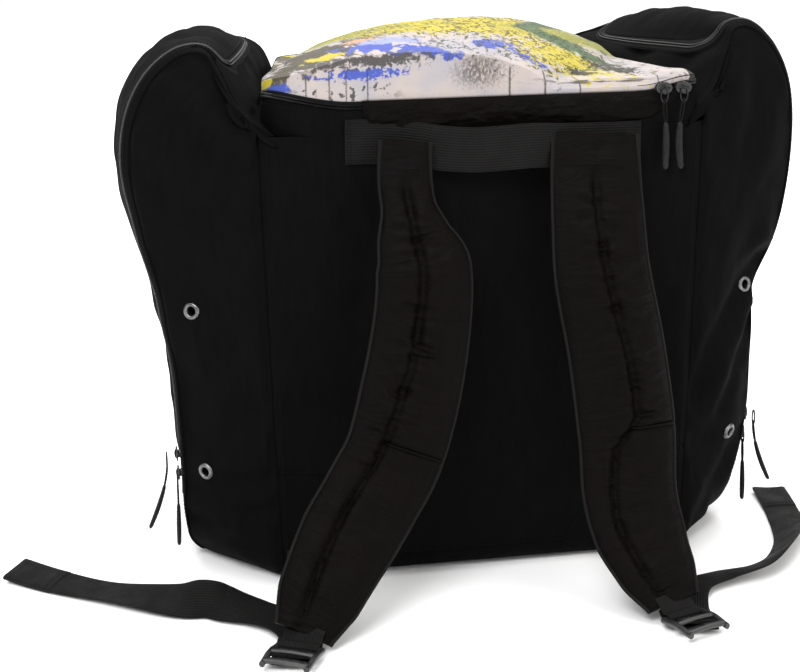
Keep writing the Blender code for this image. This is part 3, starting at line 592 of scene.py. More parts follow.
def finish_look(tree, shader, colour, roughness, normal, specular, metallic=0.0, sheen=None):
    tree.links.new(colour, shader.inputs["Base Color"])
    tree.links.new(roughness, shader.inputs["Roughness"])
    tree.links.new(normal, shader.inputs["Normal"])
    shader.inputs["Specular IOR Level"].default_value = specular
    shader.inputs["Metallic"].default_value = metallic
    if sheen:
        weight, tint, rough = sheen
        shader.inputs["Sheen Weight"].default_value = weight
        shader.inputs["Sheen Tint"].default_value = shade(tint)
        shader.inputs["Sheen Roughness"].default_value = rough


def weave_of(tree, uv, pitch):
    """A plain weave's height, from 0 to 1: threads over and under each other."""
    parts = node(tree, "SeparateXYZ", {0: uv}).outputs
    turn = 2 * math.pi / pitch
    warp = calc(tree, "SINE", times(tree, parts[0], turn))
    weft = calc(tree, "SINE", times(tree, parts[1], turn))
    return calc(tree, "MULTIPLY_ADD", times(tree, warp, weft), 0.5, 0.5)


def woven(name, dark, light, pitch, specular, rough=(0.70, 0.92), crinkle=0.0):
    """Woven cloth: threads, slubs, faint colour drift, and small creases if it is crinkled."""
    made, tree, shader = blank(name)
    uv = node(tree, "TexCoord").outputs["UV"]
    weave = weave_of(tree, uv, pitch)
    slub = noise_of(tree, uv, 260.0, 3.0, stretch=(1.0, 0.16, 1.0))
    drift = noise_of(tree, uv, 17.0, 4.0)
    fibre = noise_of(tree, uv, 2600.0, 1.0)
    threads = calc(tree, "MULTIPLY_ADD", weave, 0.35, times(tree, slub, 0.40))
    tone = calc(tree, "MULTIPLY_ADD", drift, 0.45, times(tree, threads, 0.8))
    colour = mixed(tree, remap(tree, tone, 0.25, 0.85), shade(dark), shade(light))
    worn = calc(tree, "MULTIPLY_ADD", drift, 0.6, times(tree, fibre, 0.4))
    roughness = remap(tree, worn, 0.3, 0.7, rough[0], rough[1])
    creases = noise_of(tree, uv, 42.0, 4.0, distortion=0.6)
    normal = bump(tree, creases, 0.0012, 0.55)
    if crinkle:
        fine = noise_of(tree, uv, 70.0, 3.0, stretch=(0.45, 1.5, 1.0), distortion=1.4)
        ridge = calc(tree, "ABSOLUTE", calc(tree, "MULTIPLY_ADD", fine, 2.0, -1.0))
        normal = bump(tree, ridge, crinkle, 0.8, normal)
    normal = bump(tree, threads, 0.00022, 0.9, normal)
    finish_look(tree, shader, colour, roughness, normal, specular)
    return made


def ribbed(name, dark, light, rib_pitch, weft_pitch):
    """Webbing: ribs along its length, crossed by a fine weft."""
    made, tree, shader = blank(name)
    uv = node(tree, "TexCoord").outputs["UV"]
    parts = node(tree, "SeparateXYZ", {0: uv}).outputs
    rib = calc(tree, "ABSOLUTE", calc(tree, "SINE", times(tree, parts[0], math.pi / rib_pitch)))
    lean = calc(tree, "MULTIPLY_ADD", rib, 0.35, times(tree, parts[1], math.pi / weft_pitch))
    weft = calc(tree, "ABSOLUTE", calc(tree, "SINE", lean))
    height = calc(tree, "MULTIPLY_ADD", rib, 0.65, times(tree, weft, 0.35))
    drift = noise_of(tree, uv, 60.0, 3.0)
    tone = calc(tree, "MULTIPLY_ADD", height, 0.6, times(tree, drift, 0.5))
    colour = mixed(tree, remap(tree, tone, 0.25, 1.0), shade(dark), shade(light))
    roughness = remap(tree, drift, 0.3, 0.7, 0.52, 0.74)
    normal = bump(tree, height, 0.00040, 1.0, bump(tree, noise_of(tree, uv, 45.0, 2.0), 0.0010, 0.4))
    finish_look(tree, shader, colour, roughness, normal, 0.09, sheen=(0.006, (0.8, 0.75, 0.72), 0.4))
    return made


def moulded(name, dark, light, rough, metallic=0.0, specular=0.5, edge_highlight=0.35):
    """Moulded plastic or lacquered metal: fine grain, handling marks, and a painted highlight on its edges.
    """
    made, tree, shader = blank(name)
    at = node(tree, "TexCoord").outputs["Object"]
    marks = noise_of(tree, at, 240.0, 4.0, stretch=(1.0, 0.25, 1.0))
    fine = noise_of(tree, at, 3800.0, 2.0)
    # Painted highlight: the sharpest convex edges are painted much paler than the rest of the look.
    edge = remap(tree, node(tree, "NewGeometry").outputs["Pointiness"], 0.515, 0.60, 0.0, edge_highlight)
    colour = mixed(tree, remap(tree, marks, 0.35, 0.75), shade(dark), shade(light))
    highlight_colour = tuple(min(1.0, 3.0 * c + 0.05) for c in light)
    colour = mixed(tree, edge, colour, shade(highlight_colour))
    roughness = remap(tree, marks, 0.3, 0.7, rough[0], rough[1])
    normal = bump(tree, fine, 0.00006, 0.7, bump(tree, marks, 0.00012, 0.4))
    finish_look(tree, shader, colour, roughness, normal, specular, metallic)
    return made


PALE, PALE_GREY, INK = (0.39, 0.335, 0.31), (0.31, 0.295, 0.315), (0.026, 0.022, 0.022)
OLIVE, DARK_OLIVE, GREY_INK = (0.052, 0.043, 0.024), (0.018, 0.015, 0.007), (0.062, 0.056, 0.056)
BLUE, LAVENDER, SALMON = (0.045, 0.072, 0.33), (0.24, 0.26, 0.40), (0.44, 0.24, 0.15)
YELLOW, YELLOW_GREEN, GREEN = (0.40, 0.33, 0.014), (0.19, 0.19, 0.020), (0.046, 0.092, 0.028)
BLACK = (0.006, 0.006, 0.006)
PRINT_FOLD = 0.084  # height at which the pattern turns back on itself
PRINT_FOOT = 0.010  # how far it runs on below the lid's edge

# Each patch of ink: colour, centre in X and height, half sizes, lean, softness, kind of edge.
PATCHES = (
    (OLIVE, (-0.106, 0.0320), (0.048, 0.0150), 24, 0.22, "broken"),
    (OLIVE, (-0.050, 0.0600), (0.020, 0.0035), 0, 0.30, "torn"),
    (OLIVE, (-0.140, 0.0560), (0.024, 0.0300), 0, 0.30, "broken"),
    (BLUE, (-0.068, 0.0345), (0.0230, 0.0085), -4, 0.14, "broken"),
    (BLUE, (-0.034, 0.0265), (0.0210, 0.0060), -12, 0.14, "rough"),
    (BLUE, (-0.081, 0.0110), (0.0240, 0.0032), 2, 0.28, "torn"),
    (GREY_INK, (-0.078, 0.0195), (0.0400, 0.0040), 3, 0.40, "torn"),
    (BLUE, (-0.140, 0.0075), (0.0100, 0.0045), -10, 0.25, "rough"),
    (YELLOW, (-0.104, 0.0285), (0.0120, 0.0050), 8, 0.18, "rough"),
    (YELLOW, (-0.141, 0.0140), (0.0036, 0.0030), -50, 0.20, "rough"),
    (SALMON, (-0.074, 0.0500), (0.0090, 0.0042), 10, 0.30, "torn"),
    (LAVENDER, (-0.056, 0.0430), (0.0230, 0.0055), -6, 0.30, "broken"),
    (PALE_GREY, (0.000, 0.0340), (0.0280, 0.0110), 0, 0.25, "broken"),
    (BLUE, (0.013, 0.0390), (0.0160, 0.0065), 6, 0.18, "rough"),
    (BLUE, (0.028, 0.0290), (0.0140, 0.0052), -42, 0.20, "rough"),
    (BLUE, (0.039, 0.0180), (0.0110, 0.0030), -14, 0.20, "rough"),
    (YELLOW, (0.066, 0.0330), (0.0390, 0.0210), -24, 0.20, "torn"),
    (YELLOW, (0.000, 0.0640), (0.0680, 0.0110), 0, 0.20, "torn"),
    (GREEN, (0.072, 0.0560), (0.0400, 0.0085), -34, 0.30, "rough"),
    (DARK_OLIVE, (0.100, 0.0260), (0.0150, 0.0090), -30, 0.35, "torn"),
    (DARK_OLIVE, (0.072, 0.0190), (0.0080, 0.0042), 0, 0.35, "torn"),
)
# The rear band's thin upright strokes: X and half width.
STROKES = ((-0.103, 0.0004), (-0.092, 0.0003), (-0.078, 0.0004), (0.016, 0.0006), (0.040, 0.0006),
           (0.064, 0.0005), (-0.118, 0.0004), (0.118, 0.0004))  # fmt: skip


def print_patch(tree, flat_at, warp, centre, radii, angle=0.0, soft=0.35):
    """How much of a warped oval of ink covers each point: 0 outside it, 1 inside."""
    off = node(tree, "VectorMath", {0: flat_at, 1: (*centre, 0.0)}, operation="SUBTRACT").outputs[0]
    turned = node(tree, "VectorRotate", {"Vector": off, "Angle": -math.radians(angle)}).outputs[0]
    scale = (1 / radii[0], 1 / radii[1], 1.0)
    scaled = node(tree, "VectorMath", {0: turned, 1: scale}, operation="MULTIPLY").outputs[0]
    far = node(tree, "VectorMath", {0: scaled}, operation="LENGTH").outputs[1]
    return remap(tree, calc(tree, "ADD", far, warp), 1.0 + soft, 1.0 - soft)


def printed(name, front=False):
    """The printed cloth: pale, with an abstract of ink strokes, washes and rough colour patches."""
    made, tree, shader = blank(name)
    coords = node(tree, "TexCoord")
    at, uv = coords.outputs["Object"], coords.outputs["UV"]
    parts = node(tree, "SeparateXYZ", {0: at}).outputs
    rise = calc(tree, "SUBTRACT", parts[2], LID_EDGE)
    rise = calc(tree, "MULTIPLY_ADD", calc(tree, "SUBTRACT", parts[1], LID_REAR_Y), 0.5, rise)
    if front:
        # The front panel's cut shows the pattern large, running down from the rim and back again.
        down = times(tree, calc(tree, "SUBTRACT", LID_EDGE, parts[2]), 0.50)
        rise = calc(tree, "ADD", down, PRINT_FOOT)
    folded = calc(tree, "PINGPONG", calc(tree, "ADD", rise, PRINT_FOOT), PRINT_FOLD)
    rise = calc(tree, "SUBTRACT", folded, PRINT_FOOT)
    flat_at = node(tree, "CombineXYZ", {0: parts[0], 1: rise, 2: 0.0}).outputs[0]

    def wobble(scale, amount):
        value = noise_of(tree, flat_at, scale, 5.0, distortion=0.6)
        return times(tree, calc(tree, "SUBTRACT", value, 0.5), amount)

    broad, rough, speckle = wobble(48.0, 3.0), wobble(150.0, 2.6), wobble(420.0, 3.6)
    broken, torn = calc(tree, "ADD", broad, rough), calc(tree, "ADD", rough, speckle)
    borders = {"rough": rough, "broken": broken, "torn": torn}
    flakes = remap(tree, noise_of(tree, flat_at, 210.0, 4.0, distortion=1.5), 0.50, 0.58)
    washes = remap(tree, noise_of(tree, flat_at, 30.0, 4.0), 0.35, 0.7)
    colour = mixed(tree, washes, shade(PALE), shade(PALE_GREY))
    colour = mixed(tree, remap(tree, rise, 0.052, 0.066), colour, shade(YELLOW_GREEN))
    for ink, centre, radii, angle, soft, border in PATCHES:
        cover = print_patch(tree, flat_at, borders[border], centre, radii, angle, soft)
        colour = mixed(tree, cover, colour, shade(ink))
    yellow_zone = print_patch(tree, flat_at, broken, (0.035, 0.050), (0.100, 0.032), -12, 0.3)
    dark = times(tree, flakes, times(tree, yellow_zone, 0.85))
    colour = mixed(tree, dark, colour, shade(DARK_OLIVE))
    colour = mixed(tree, band_ink(tree, flat_at, rise, parts[0]), colour, shade(INK))
    corner = times(tree, remap(tree, parts[0], 0.1395, 0.1402), remap(tree, parts[1], -0.095, -0.100))
    colour = mixed(tree, corner, colour, shade(BLACK))
    weave = weave_of(tree, uv, 0.00062)
    colour = mixed(tree, times(tree, weave, 0.10), colour, shade(INK))
    roughness = remap(tree, noise_of(tree, uv, 40.0, 3.0), 0.3, 0.7, 0.62, 0.80)
    normal = bump(tree, weave, 0.00018, 0.7, bump(tree, noise_of(tree, uv, 30.0, 3.0), 0.0012, 0.5))
    finish_look(tree, shader, colour, roughness, normal, 0.25, sheen=(0.08, (1, 1, 1), 0.5))
    return made


def band_ink(tree, flat_at, rise, x):
    """Ink on the lid's rear band: thin upright strokes, low smears, dots and a smudged thicket."""
    low = remap(tree, rise, 0.0150, 0.0100)
    ragged = noise_of(tree, flat_at, 520.0, 3.0)
    strokes = None
    for centre, half in STROKES:
        far = calc(tree, "ABSOLUTE", calc(tree, "SUBTRACT", x, centre))
        line = remap(tree, calc(tree, "MULTIPLY_ADD", ragged, 0.0010, far), half + 0.0011, half)
        strokes = line if strokes is None else calc(tree, "MAXIMUM", strokes, line)
    streaks = noise_of(tree, flat_at, 95.0, 4.0, stretch=(0.55, 4.0, 1.0))
    right = remap(tree, x, 0.012, 0.030)
    middle = print_patch(tree, flat_at, times(tree, ragged, 0.4), (0.075, 0.0026), (0.056, 0.0026))
    smears = times(tree, remap(tree, streaks, 0.46, 0.56), times(tree, right, middle))
    thicket = print_patch(tree, flat_at, ragged, (-0.004, 0.0110), (0.028, 0.0190))
    twigs = noise_of(tree, flat_at, 190.0, 6.0, stretch=(1.6, 0.7, 1.0), distortion=2.0)
    thicket = times(tree, times(tree, remap(tree, twigs, 0.30, 0.52), thicket), 0.85)
    dots = remap(tree, noise_of(tree, flat_at, 200.0, 3.0), 0.56, 0.62)
    low_left = times(tree, remap(tree, x, -0.050, -0.070), remap(tree, rise, 0.0065, 0.0040))
    left = times(tree, dots, low_left)
    ink = times(tree, calc(tree, "MAXIMUM", strokes, calc(tree, "MAXIMUM", smears, left)), low)
    return times(tree, calc(tree, "MAXIMUM", ink, thicket), 0.88)


# In the moulded looks, the keyword after specular sets how strongly sharp edges get a painted highlight.
LOOKS = {
    "shell": woven("shell_cloth", (0.0012, 0.0012, 0.0012), (0.0036, 0.0035, 0.0036), 0.00075,
                   specular=0.030),
    "nylon": woven("strap_nylon", (0.0008, 0.0005, 0.0004), (0.0027, 0.0017, 0.0014), 0.00050,
                   specular=0.038, rough=(0.36, 0.52), crinkle=0.0012),
    "lining": woven("lining_cloth", (0.020, 0.020, 0.022), (0.052, 0.053, 0.058), 0.00050,
                    specular=0.20, rough=(0.55, 0.75)),
    "webbing": ribbed("webbing_ribs", (0.0012, 0.0011, 0.0011), (0.0056, 0.0050, 0.0048), 0.0017, 0.0011),
    "print": printed("printed_cloth"),
    "front_print": printed("printed_front_cloth", front=True),
    "thread": moulded("sewing_thread", (0.002, 0.002, 0.002), (0.005, 0.0048, 0.0048), rough=(0.6, 0.8),
                      specular=0.08, edge_highlight=0.0),
    "tape": woven("zip_tape", (0.0030, 0.0030, 0.0032), (0.0070, 0.0070, 0.0074), 0.00060, specular=0.08),
    "coil": moulded("zip_coil", (0.003, 0.003, 0.003), (0.008, 0.008, 0.0083), rough=(0.30, 0.44),
                    specular=0.22, edge_highlight=0.08),
    "buckle": moulded("buckle_plastic", (0.006, 0.006, 0.006), (0.014, 0.014, 0.014), rough=(0.28, 0.44)),
    "grip": moulded("grip_rubber", (0.003, 0.003, 0.003), (0.008, 0.008, 0.008), rough=(0.45, 0.62),
                    specular=0.16, edge_highlight=0.1),
    "metal": moulded("black_metal", (0.008, 0.008, 0.009), (0.026, 0.026, 0.027), rough=(0.24, 0.40),
                     metallic=0.75, edge_highlight=0.3),
    "eyelet": moulded("eyelet_nickel", (0.10, 0.10, 0.10), (0.20, 0.20, 0.20), rough=(0.24, 0.40),
                      metallic=1.0, edge_highlight=0.3),
    "board": moulded("stiffener_board", (0.020, 0.020, 0.021), (0.045, 0.045, 0.047), rough=(0.45, 0.65)),
}  # fmt: skip


# ---- Side pockets --------------------------------------------------------------------------------
def nearest(grid, x, z):
    """The grid's point nearest to a place seen from behind, and the way out there."""
    flat = grid.reshape(-1, 3)
    k = int(np.argmin((flat[:, 0] - x) ** 2 + (flat[:, 2] - z) ** 2))
    normals = grid_normals(grid).reshape(-1, 3) * facing_out(grid, INSIDE)
    return flat[k], normals[k]


def inside_pocket(side):
    return (side * 0.12, *INSIDE[1:])


def eased_columns(grid, column, reach):
    """The grid with the crease at one column rounded off."""
    weight = np.clip(1 - np.abs(np.arange(grid.shape[1]) - column) / (reach + 1), 0, 1)[None, :, None]
    for _ in range(10):
        spread = grid.copy()
        spread[:, 1:-1] = (grid[:, :-2] + grid[:, 2:]) / 2
        grid = grid + (spread - grid) * weight * 0.7
    return grid


def pocket_strip(side, rear):
    """A pocket's back or front cloth, turned onto the gusset at its outer edge."""
    along = np.linspace(0, GUSSET_LENGTH, POCKET_ROWS)
    u = np.interp(along, LENGTHS, PLACES)
    out = np.linspace(0, 1, POCKET_COLUMNS)
    face = pocket_face(*np.broadcast_arrays(u[:, None], out[None]), rear)
    turn = np.linspace(0, EDGE_IN, 6)[1:]
    across = turn if rear else GUSSET_WIDTH - turn
    lip = gusset(*np.broadcast_arrays(along[:, None], across[None]))
    grid = eased_columns(np.concatenate([face, lip], axis=1), POCKET_COLUMNS - 1, 4)
    grid = settled(grid, side)
    taper = smoothstep(0, 0.10, out) * smoothstep(1.0, 0.94, out)
    taper = np.concatenate([taper, np.zeros(5)])[None] * smoothstep(0, 0.012, along)[:, None]
    lump = soft_noise(grid, (0.045, 0.10, 0.070), 3 + side + 2 * rear, 3) * 0.0034
    lump += soft_noise(grid, (0.016, 0.04, 0.024), 9 + side, 2) * 0.0009
    if rear:
        lump += fold_depth(grid, FOLDS["left" if side < 0 else "right"])
    seam = -0.0022 * np.exp(-((out / 0.055) ** 2))
    seam = np.concatenate([seam, np.zeros(5)])[None]
    return tucked_end(moved_out(grid, lump * taper + seam, inside_pocket(side)), side)


def tucked_end(grid, side):
    """The grid with its last row carried in behind the rim, where it's sewn down."""
    steps = np.array([0.25, 0.5, 0.75, 1.0])[:, None, None]
    return np.concatenate([grid, grid[-1:] + steps * np.array([-0.0130 * side, 0, -0.0090])])


def gusset_path(side, along, over, lift=0.0):
    """Points of a pocket's gusset, lifted off it, and the outward normals there."""
    normal = gusset_normal(along, over)
    points = settled(gusset(along, over) + normal * lift, side)
    normal[:, 0] *= side
    return points, normal


def round_the_door(side, offset, start, count, lift=0.0):
    """Points and outward normals along the open U that runs round a pocket's door."""
    route = resampled(door_path(offset, start), count)
    return gusset_path(side, route[:, 0], route[:, 1], lift)


def coil_along(name, points, normals):
    """A zip's coil: a bead that swells at every tooth."""
    teeth = 0.00078 + 0.00022 * np.sin(np.arange(len(points)) * 2 * math.pi / 4)
    ring = round_section(1.0, 7)[None] * teeth[:, None, None]
    return swept(name, points, normals, ring, "coil")


def tape_along(name, points, normals):
    return swept(name, points, normals, band_section(0.0046, 0.0007, 5), "tape")


def pocket_zip(side, word):
    """Both halves of the zip round a pocket's door: coil and tape."""
    for half, gap, middle in (("pocket", COIL_GAP, 0.0068), ("door", -COIL_GAP, 0.0010)):
        body = "bag" if half == "pocket" else f"{word}_door"
        points, normals = round_the_door(side, COIL_OFFSET + gap, ZIP_STARTS[half], 2400)
        coil = coil_along(f"{word}_{half}_coil", points + normals * 0.0001, normals)
        place(coil, body, "zip_coil", f"{word}_{half}_zip")
        points, normals = round_the_door(side, middle, ZIP_STARTS[half], 420, -0.0006)
        place(tape_along(f"{word}_{half}_tape", points, normals), body, "zip_coil")


def pocket_back(side, word):
    """The pocket's back cloth, cut away under its two eyelets."""
    back = pocket_strip(side, True)
    eyelets = [nearest(back[:, :POCKET_COLUMNS], x, z) for x, z in EYELETS[word]]
    middle = (back[:-1, :-1] + back[1:, 1:]) / 2
    keep = np.ones(middle.shape[:2], bool)
    for at, _ in eyelets:
        keep &= np.linalg.norm(middle - at, axis=2) > 0.0040
    made = cloth(f"{word}_back_cloth", back, ["shell"], SHELL_THICK, inside_pocket(side), keep)
    place(made, "bag", "shell_fabric", f"{word}_pocket_back")
    for (at, normal), level in zip(eyelets, ("upper", "lower")):
        place(eyelet(f"{word}_{level}_eyelet", at, normal), "bag", "grommet", f"{word}_{level}_grommet")
    return back


def pocket_front(side, word):
    front = pocket_strip(side, False)
    made = cloth(f"{word}_front_cloth", front, ["shell"], SHELL_THICK, inside_pocket(side))
    place(made, "bag", "shell_fabric", f"{word}_pocket_front")


def pocket_top(side, word):
    """The fixed end of the gusset, from over the door's top edge to behind the rim."""
    low = resampled(door_path(0.0074), 130)
    low = low[(low[:, 0] > DOOR_TOP - 0.030)]
    reach = np.linspace(0, 1, 46)[:, None]
    along = low[None, :, 0] + (GUSSET_LENGTH - low[None, :, 0]) * reach
    over = np.broadcast_to(low[None, :, 1], along.shape)
    top = settled(gusset(along, over), side)
    taper = smoothstep(0, 0.15, reach) * smoothstep(0, 0.1, over / GUSSET_WIDTH)
    taper = taper * smoothstep(1, 0.9, over / GUSSET_WIDTH) * smoothstep(1, 0.85, reach)
    lump = soft_noise(top, 0.045, 21 + side, 2) * 0.0035
    top = tucked_end(moved_out(top, lump * taper, inside_pocket(side)), side)
    made = cloth(f"{word}_top_cloth", top, ["shell"], SHELL_THICK, inside_pocket(side))
    place(made, "bag", "shell_fabric", f"{word}_pocket_top")


def pocket_flap(side, word):
    """The sill and the door above it, one cloth."""
    along = np.concatenate([np.linspace(0, 0.05, 26)[:-1], np.linspace(0.05, DOOR_TOP, 190)])
    sill = smoothstep(DOOR_SILL, DOOR_SILL + 0.0035, along)
    inset = EDGE_IN + (DOOR_INSET - 0.0002 - EDGE_IN) * sill
    corner = np.clip(along - (DOOR_TOP - DOOR_CORNER), 0, DOOR_CORNER * 0.9999)
    inset += DOOR_CORNER - np.sqrt(DOOR_CORNER**2 - corner**2)
    share = np.linspace(0, 1, 100)[None]
    over = inset[:, None] * (1 - share) + (GUSSET_WIDTH - inset[:, None]) * share
    flap = settled(gusset(np.broadcast_to(along[:, None], over.shape), over), side)
    taper = smoothstep(0, 0.12, share) * smoothstep(1, 0.88, share) * smoothstep(0.0, 0.03, along)[:, None]
    taper = taper * smoothstep(DOOR_TOP, DOOR_TOP - 0.03, along)[:, None]
    lump = soft_noise(flap, (0.05, 0.05, 0.085), 33 + side, 3) * 0.0042
    lump += soft_noise(flap, (0.018, 0.018, 0.04), 39 + side, 2) * 0.0010
    inside = inside_pocket(side)
    flap = moved_out(flap, lump * taper, inside)
    made = cloth(f"{word}_flap_cloth", flap, ["shell", "lining"], inside=inside)
    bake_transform(made)
    dress(made, "shell_fabric", f"{word}_pocket_door", f"{word}_pocket_sill")


def pocket_trim(side, word, back):
    """Piping down both outer edges, and stitch rows beside the seams."""
    out = grid_normals(back) * facing_out(back, inside_pocket(side))
    along = np.linspace(0, GUSSET_LENGTH, 600)
    edges = {
        "rear": (back[:, POCKET_COLUMNS - 1], out[:, POCKET_COLUMNS - 1]),
        "front": gusset_path(side, along, np.full(600, GUSSET_WIDTH)),
    }
    for name, (points, normals) in edges.items():
        piping = swept(f"{word}_{name}_piping", points, normals, round_section(0.00125, 8), "shell")
        place(piping, "bag", "shell_fabric")
    for k, column in enumerate((POCKET_COLUMNS - 4, POCKET_COLUMNS + 3)):
        row = stitches(f"{word}_edge_stitch{k}", back[4:-4, column], out[4:-4, column])
        place(row, "bag", "shell_fabric")
    for where, offset, body, start in (("out", 0.0090, "bag", 0.056), ("in", -0.0030, f"{word}_door", 0.066)):
        points, normals = round_the_door(side, offset, start, 900, 0.0001)
        place(stitches(f"{word}_zip_stitch_{where}", points, normals), body, "shell_fabric")


def pocket(side, word):
    back = pocket_back(side, word)
    pocket_front(side, word)
    pocket_top(side, word)
    pocket_flap(side, word)
    pocket_zip(side, word)
    pocket_trim(side, word, back)


def turned(name, profile, centre, normal, look):
    """A ring turned about the normal: the profile is a closed loop of radius and height."""
    normal = Vector(normal).normalized()
    frame_of = normal.to_track_quat("Z", "Y").to_matrix()
    segments = 36
    turn = np.linspace(0, 2 * math.pi, segments, endpoint=False)
    profile = np.asarray(profile, float)
    around = np.stack([np.cos(turn), np.sin(turn), np.zeros(segments)], axis=-1)
    local = around[:, None] * profile[None, :, :1]
    local[..., 2] += profile[None, :, 1]
    points = local.reshape(-1, 3) @ np.array(frame_of).T + np.asarray(centre)
    sides = len(profile)
    faces = []
    for i in range(segments):
        for j in range(sides):
            a, b = i * sides + j, i * sides + (j + 1) % sides
            c, d = ((i + 1) % segments) * sides + (j + 1) % sides, ((i + 1) % segments) * sides + j
            faces.append((a, d, c, b))
    return mesh_object(name, points, faces, [look])


def eyelet(name, at, normal):
    """A rolled metal eyelet: a domed rim round a throat that goes through the cloth."""
    profile = (
        (0.0030, -0.0035), (0.0030, 0.0006), (0.0034, 0.0013), (0.0041, 0.0016), (0.0050, 0.0014),
        (0.0058, 0.0007), (0.0060, 0.0000), (0.0052, -0.0003), (0.0036, -0.0004), (0.0036, -0.0035),
    )  # fmt: skip
    return turned(name, profile, at, normal, "eyelet")


# ---- Zip sliders and pulls -----------------------------------------------------------------------
def boxy(name, centre, axes, size, look, bevel=0.0006):
    """A box with rounded edges, its size given along three axes."""
    corners = np.array([(x, y, z) for x in (-0.5, 0.5) for y in (-0.5, 0.5) for z in (-0.5, 0.5)])
    points = np.asarray(centre) + (corners * size) @ np.array(axes)
    faces = [(0, 1, 3, 2), (4, 6, 7, 5), (0, 4, 5, 1), (2, 3, 7, 6), (0, 2, 6, 4), (1, 5, 7, 3)]
    if np.linalg.det(np.array(axes)) < 0:
        faces = [face[::-1] for face in faces]
    obj = mesh_object(name, points, faces, [look], flat=True)
    rounding = obj.modifiers.new("Rounding", "BEVEL")
    rounding.width = bevel
    rounding.segments = 3
    obj.data.shade_smooth()
    return obj


def slider(word, label, centre, along, normal):
    """A slider body: two waisted plates, the post between them, and the bridge for the pull's ring."""
    along, normal = unit(np.asarray(along)), unit(np.asarray(normal))
    across = np.cross(along, normal)
    axes = np.array([across, along, normal])
    t = np.linspace(0, 2 * math.pi, 28, endpoint=False)
    waist = 1 - 0.20 * np.cos(2 * t) ** 2 * (np.sin(t) < 0)
    wide, long, high = SLIDER_SIZE
    outline = np.column_stack([np.cos(t) * wide / 2 * waist, np.sin(t) * long / 2])
    pieces = []
    for level, thick in ((-0.5, 0.0010), (0.22, 0.0012)):
        low = centre + normal * (level * high + 0.0006)
        ring = outline @ axes[:2]
        points = np.concatenate([low + ring, low + ring + normal * thick])
        faces = [tuple(range(28))[::-1], tuple(range(28, 56))]
        faces += [(k, (k + 1) % 28, 28 + (k + 1) % 28, 28 + k) for k in range(28)]
        plate = mesh_object(f"{word}_{label}_plate", points, faces, ["metal"], flat=True)
        pieces.append(plate)
    pieces.append(boxy(f"{word}_{label}_post", centre, axes, (0.0022, 0.0050, high * 0.7), "metal"))
    turn = np.linspace(0, math.pi, 13)[:, None]
    arch = centre + normal * (high * 0.40) + along * np.cos(turn) * 0.0036 + normal * np.sin(turn) * 0.0016
    pieces.append(swept(f"{word}_{label}_bridge", arch, across, round_section(0.00075, 8), "metal"))
    body = joined(f"{word}_{label}_slider_body", pieces)
    place(body, f"{word}_{label}_slider", "zip_slider", f"{word}_{label}_slider")


def pull(word, label, hang, outside, splay, bend):
    """A pull: metal ring, a loop of cord through it, and a moulded grip."""
    hang, outside = np.asarray(hang, float), unit(np.asarray(outside, float))
    level = np.cross(outside, [0, 0, 1.0])
    down = np.array([0, 0, -1.0])
    t = np.linspace(0, 2 * math.pi, 40, endpoint=False)[:, None]
    middle = hang + down * (RING_DROP / 2 - 0.0012)
    ring = middle + np.cos(t) * level * 0.0024 - np.sin(t) * down * RING_DROP / 2
    wire = round_section(0.00062, 8)
    metal = swept(f"{word}_{label}_ring", ring, outside, wire, "metal", closed=True)
    body = f"{word}_{label}_pull"
    place(metal, body, "zip_slider", f"{word}_{label}_tab")

    start = hang + down * (RING_DROP - 0.0026)
    s = np.linspace(0, 1, 60)[:, None]
    middle = start + down * s * GRIP_LENGTH + outside * splay * s**1.6 + level * bend * np.sin(s * 2.6)
    cord_end = 22
    gap = 0.0011 * np.sin(np.linspace(0.25, math.pi, cord_end))[:, None] ** 0.7
    one = middle[:cord_end] + level * gap
    other = middle[:cord_end] - level * gap
    turn = np.radians(np.linspace(0, 180, 7))[1:-1, None]
    over_ring = one[0] * 0.5 + other[0] * 0.5 + 0.0008 * (np.cos(turn) * level - np.sin(turn) * down)
    loop = np.vstack([one[::-1], over_ring, other])
    twist = 0.00010 * np.sin(np.arange(len(loop)) * 2.2)
    cord_ring = round_section(1.0, 8)[None] * (0.00072 + twist)[:, None, None]
    cord = swept(f"{word}_{label}_pull_cord", loop, outside, cord_ring, "webbing")
    grip_line = middle[cord_end - 4 :]
    share = np.linspace(0, 1, len(grip_line))
    width = 0.0018 + 0.0008 * np.sin(share * math.pi * 0.9) + 0.00010 * (np.sin(share * 70) > 0)
    width *= np.where(share > 0.94, np.sqrt(np.maximum(1 - ((share - 0.94) / 0.062) ** 2, 0.02)), 1)
    width *= smoothstep(-0.05, 0.08, share)
    section = round_section(1.0, 12, 0.62)[None] * width[:, None, None]
    grip = swept(f"{word}_{label}_grip_end", grip_line, outside, section, "grip")
    place(cord, body, "pull_grip")
    place(grip, body, "pull_grip", f"{word}_{label}_grip")


def all_sliders():
    joints = {j["name"]: j for j in frame["joints"]}
    for side, word in ((-1, "left"), (1, "right")):
        for label, (along, splay, bend) in POCKET_PULLS.items():
            across = DOOR_INSET - 0.0045
            at, over = np.array([along - 0.002, along, along + 0.002]), np.full(3, across)
            points, normals = gusset(at, over), gusset_normal(at, over)
            point, normal, run = points[1], normals[1], points[2] - points[0]
            for vector in (point, normal, run):
                vector[0] *= side
            slider(word, label, point + normal * 0.0029, run, normal)
            hang = joints[f"{word}_{label}_pull_swing"]["pos_m"]
            outside = [normal[0], normal[1], 0.0]
            pull(word, label, hang, outside, splay, bend * side)
    for label, (x, bend) in LID_PULLS.items():
        slider("lid", label, np.array([x, LID_REAR_Y - 0.0029, LID_SPLIT]), [1, 0, 0], [0, -1, 0])
        hang = joints[f"lid_{label}_pull_swing"]["pos_m"]
        pull("lid", label, hang, [0, -1, 0], 0.002, bend)


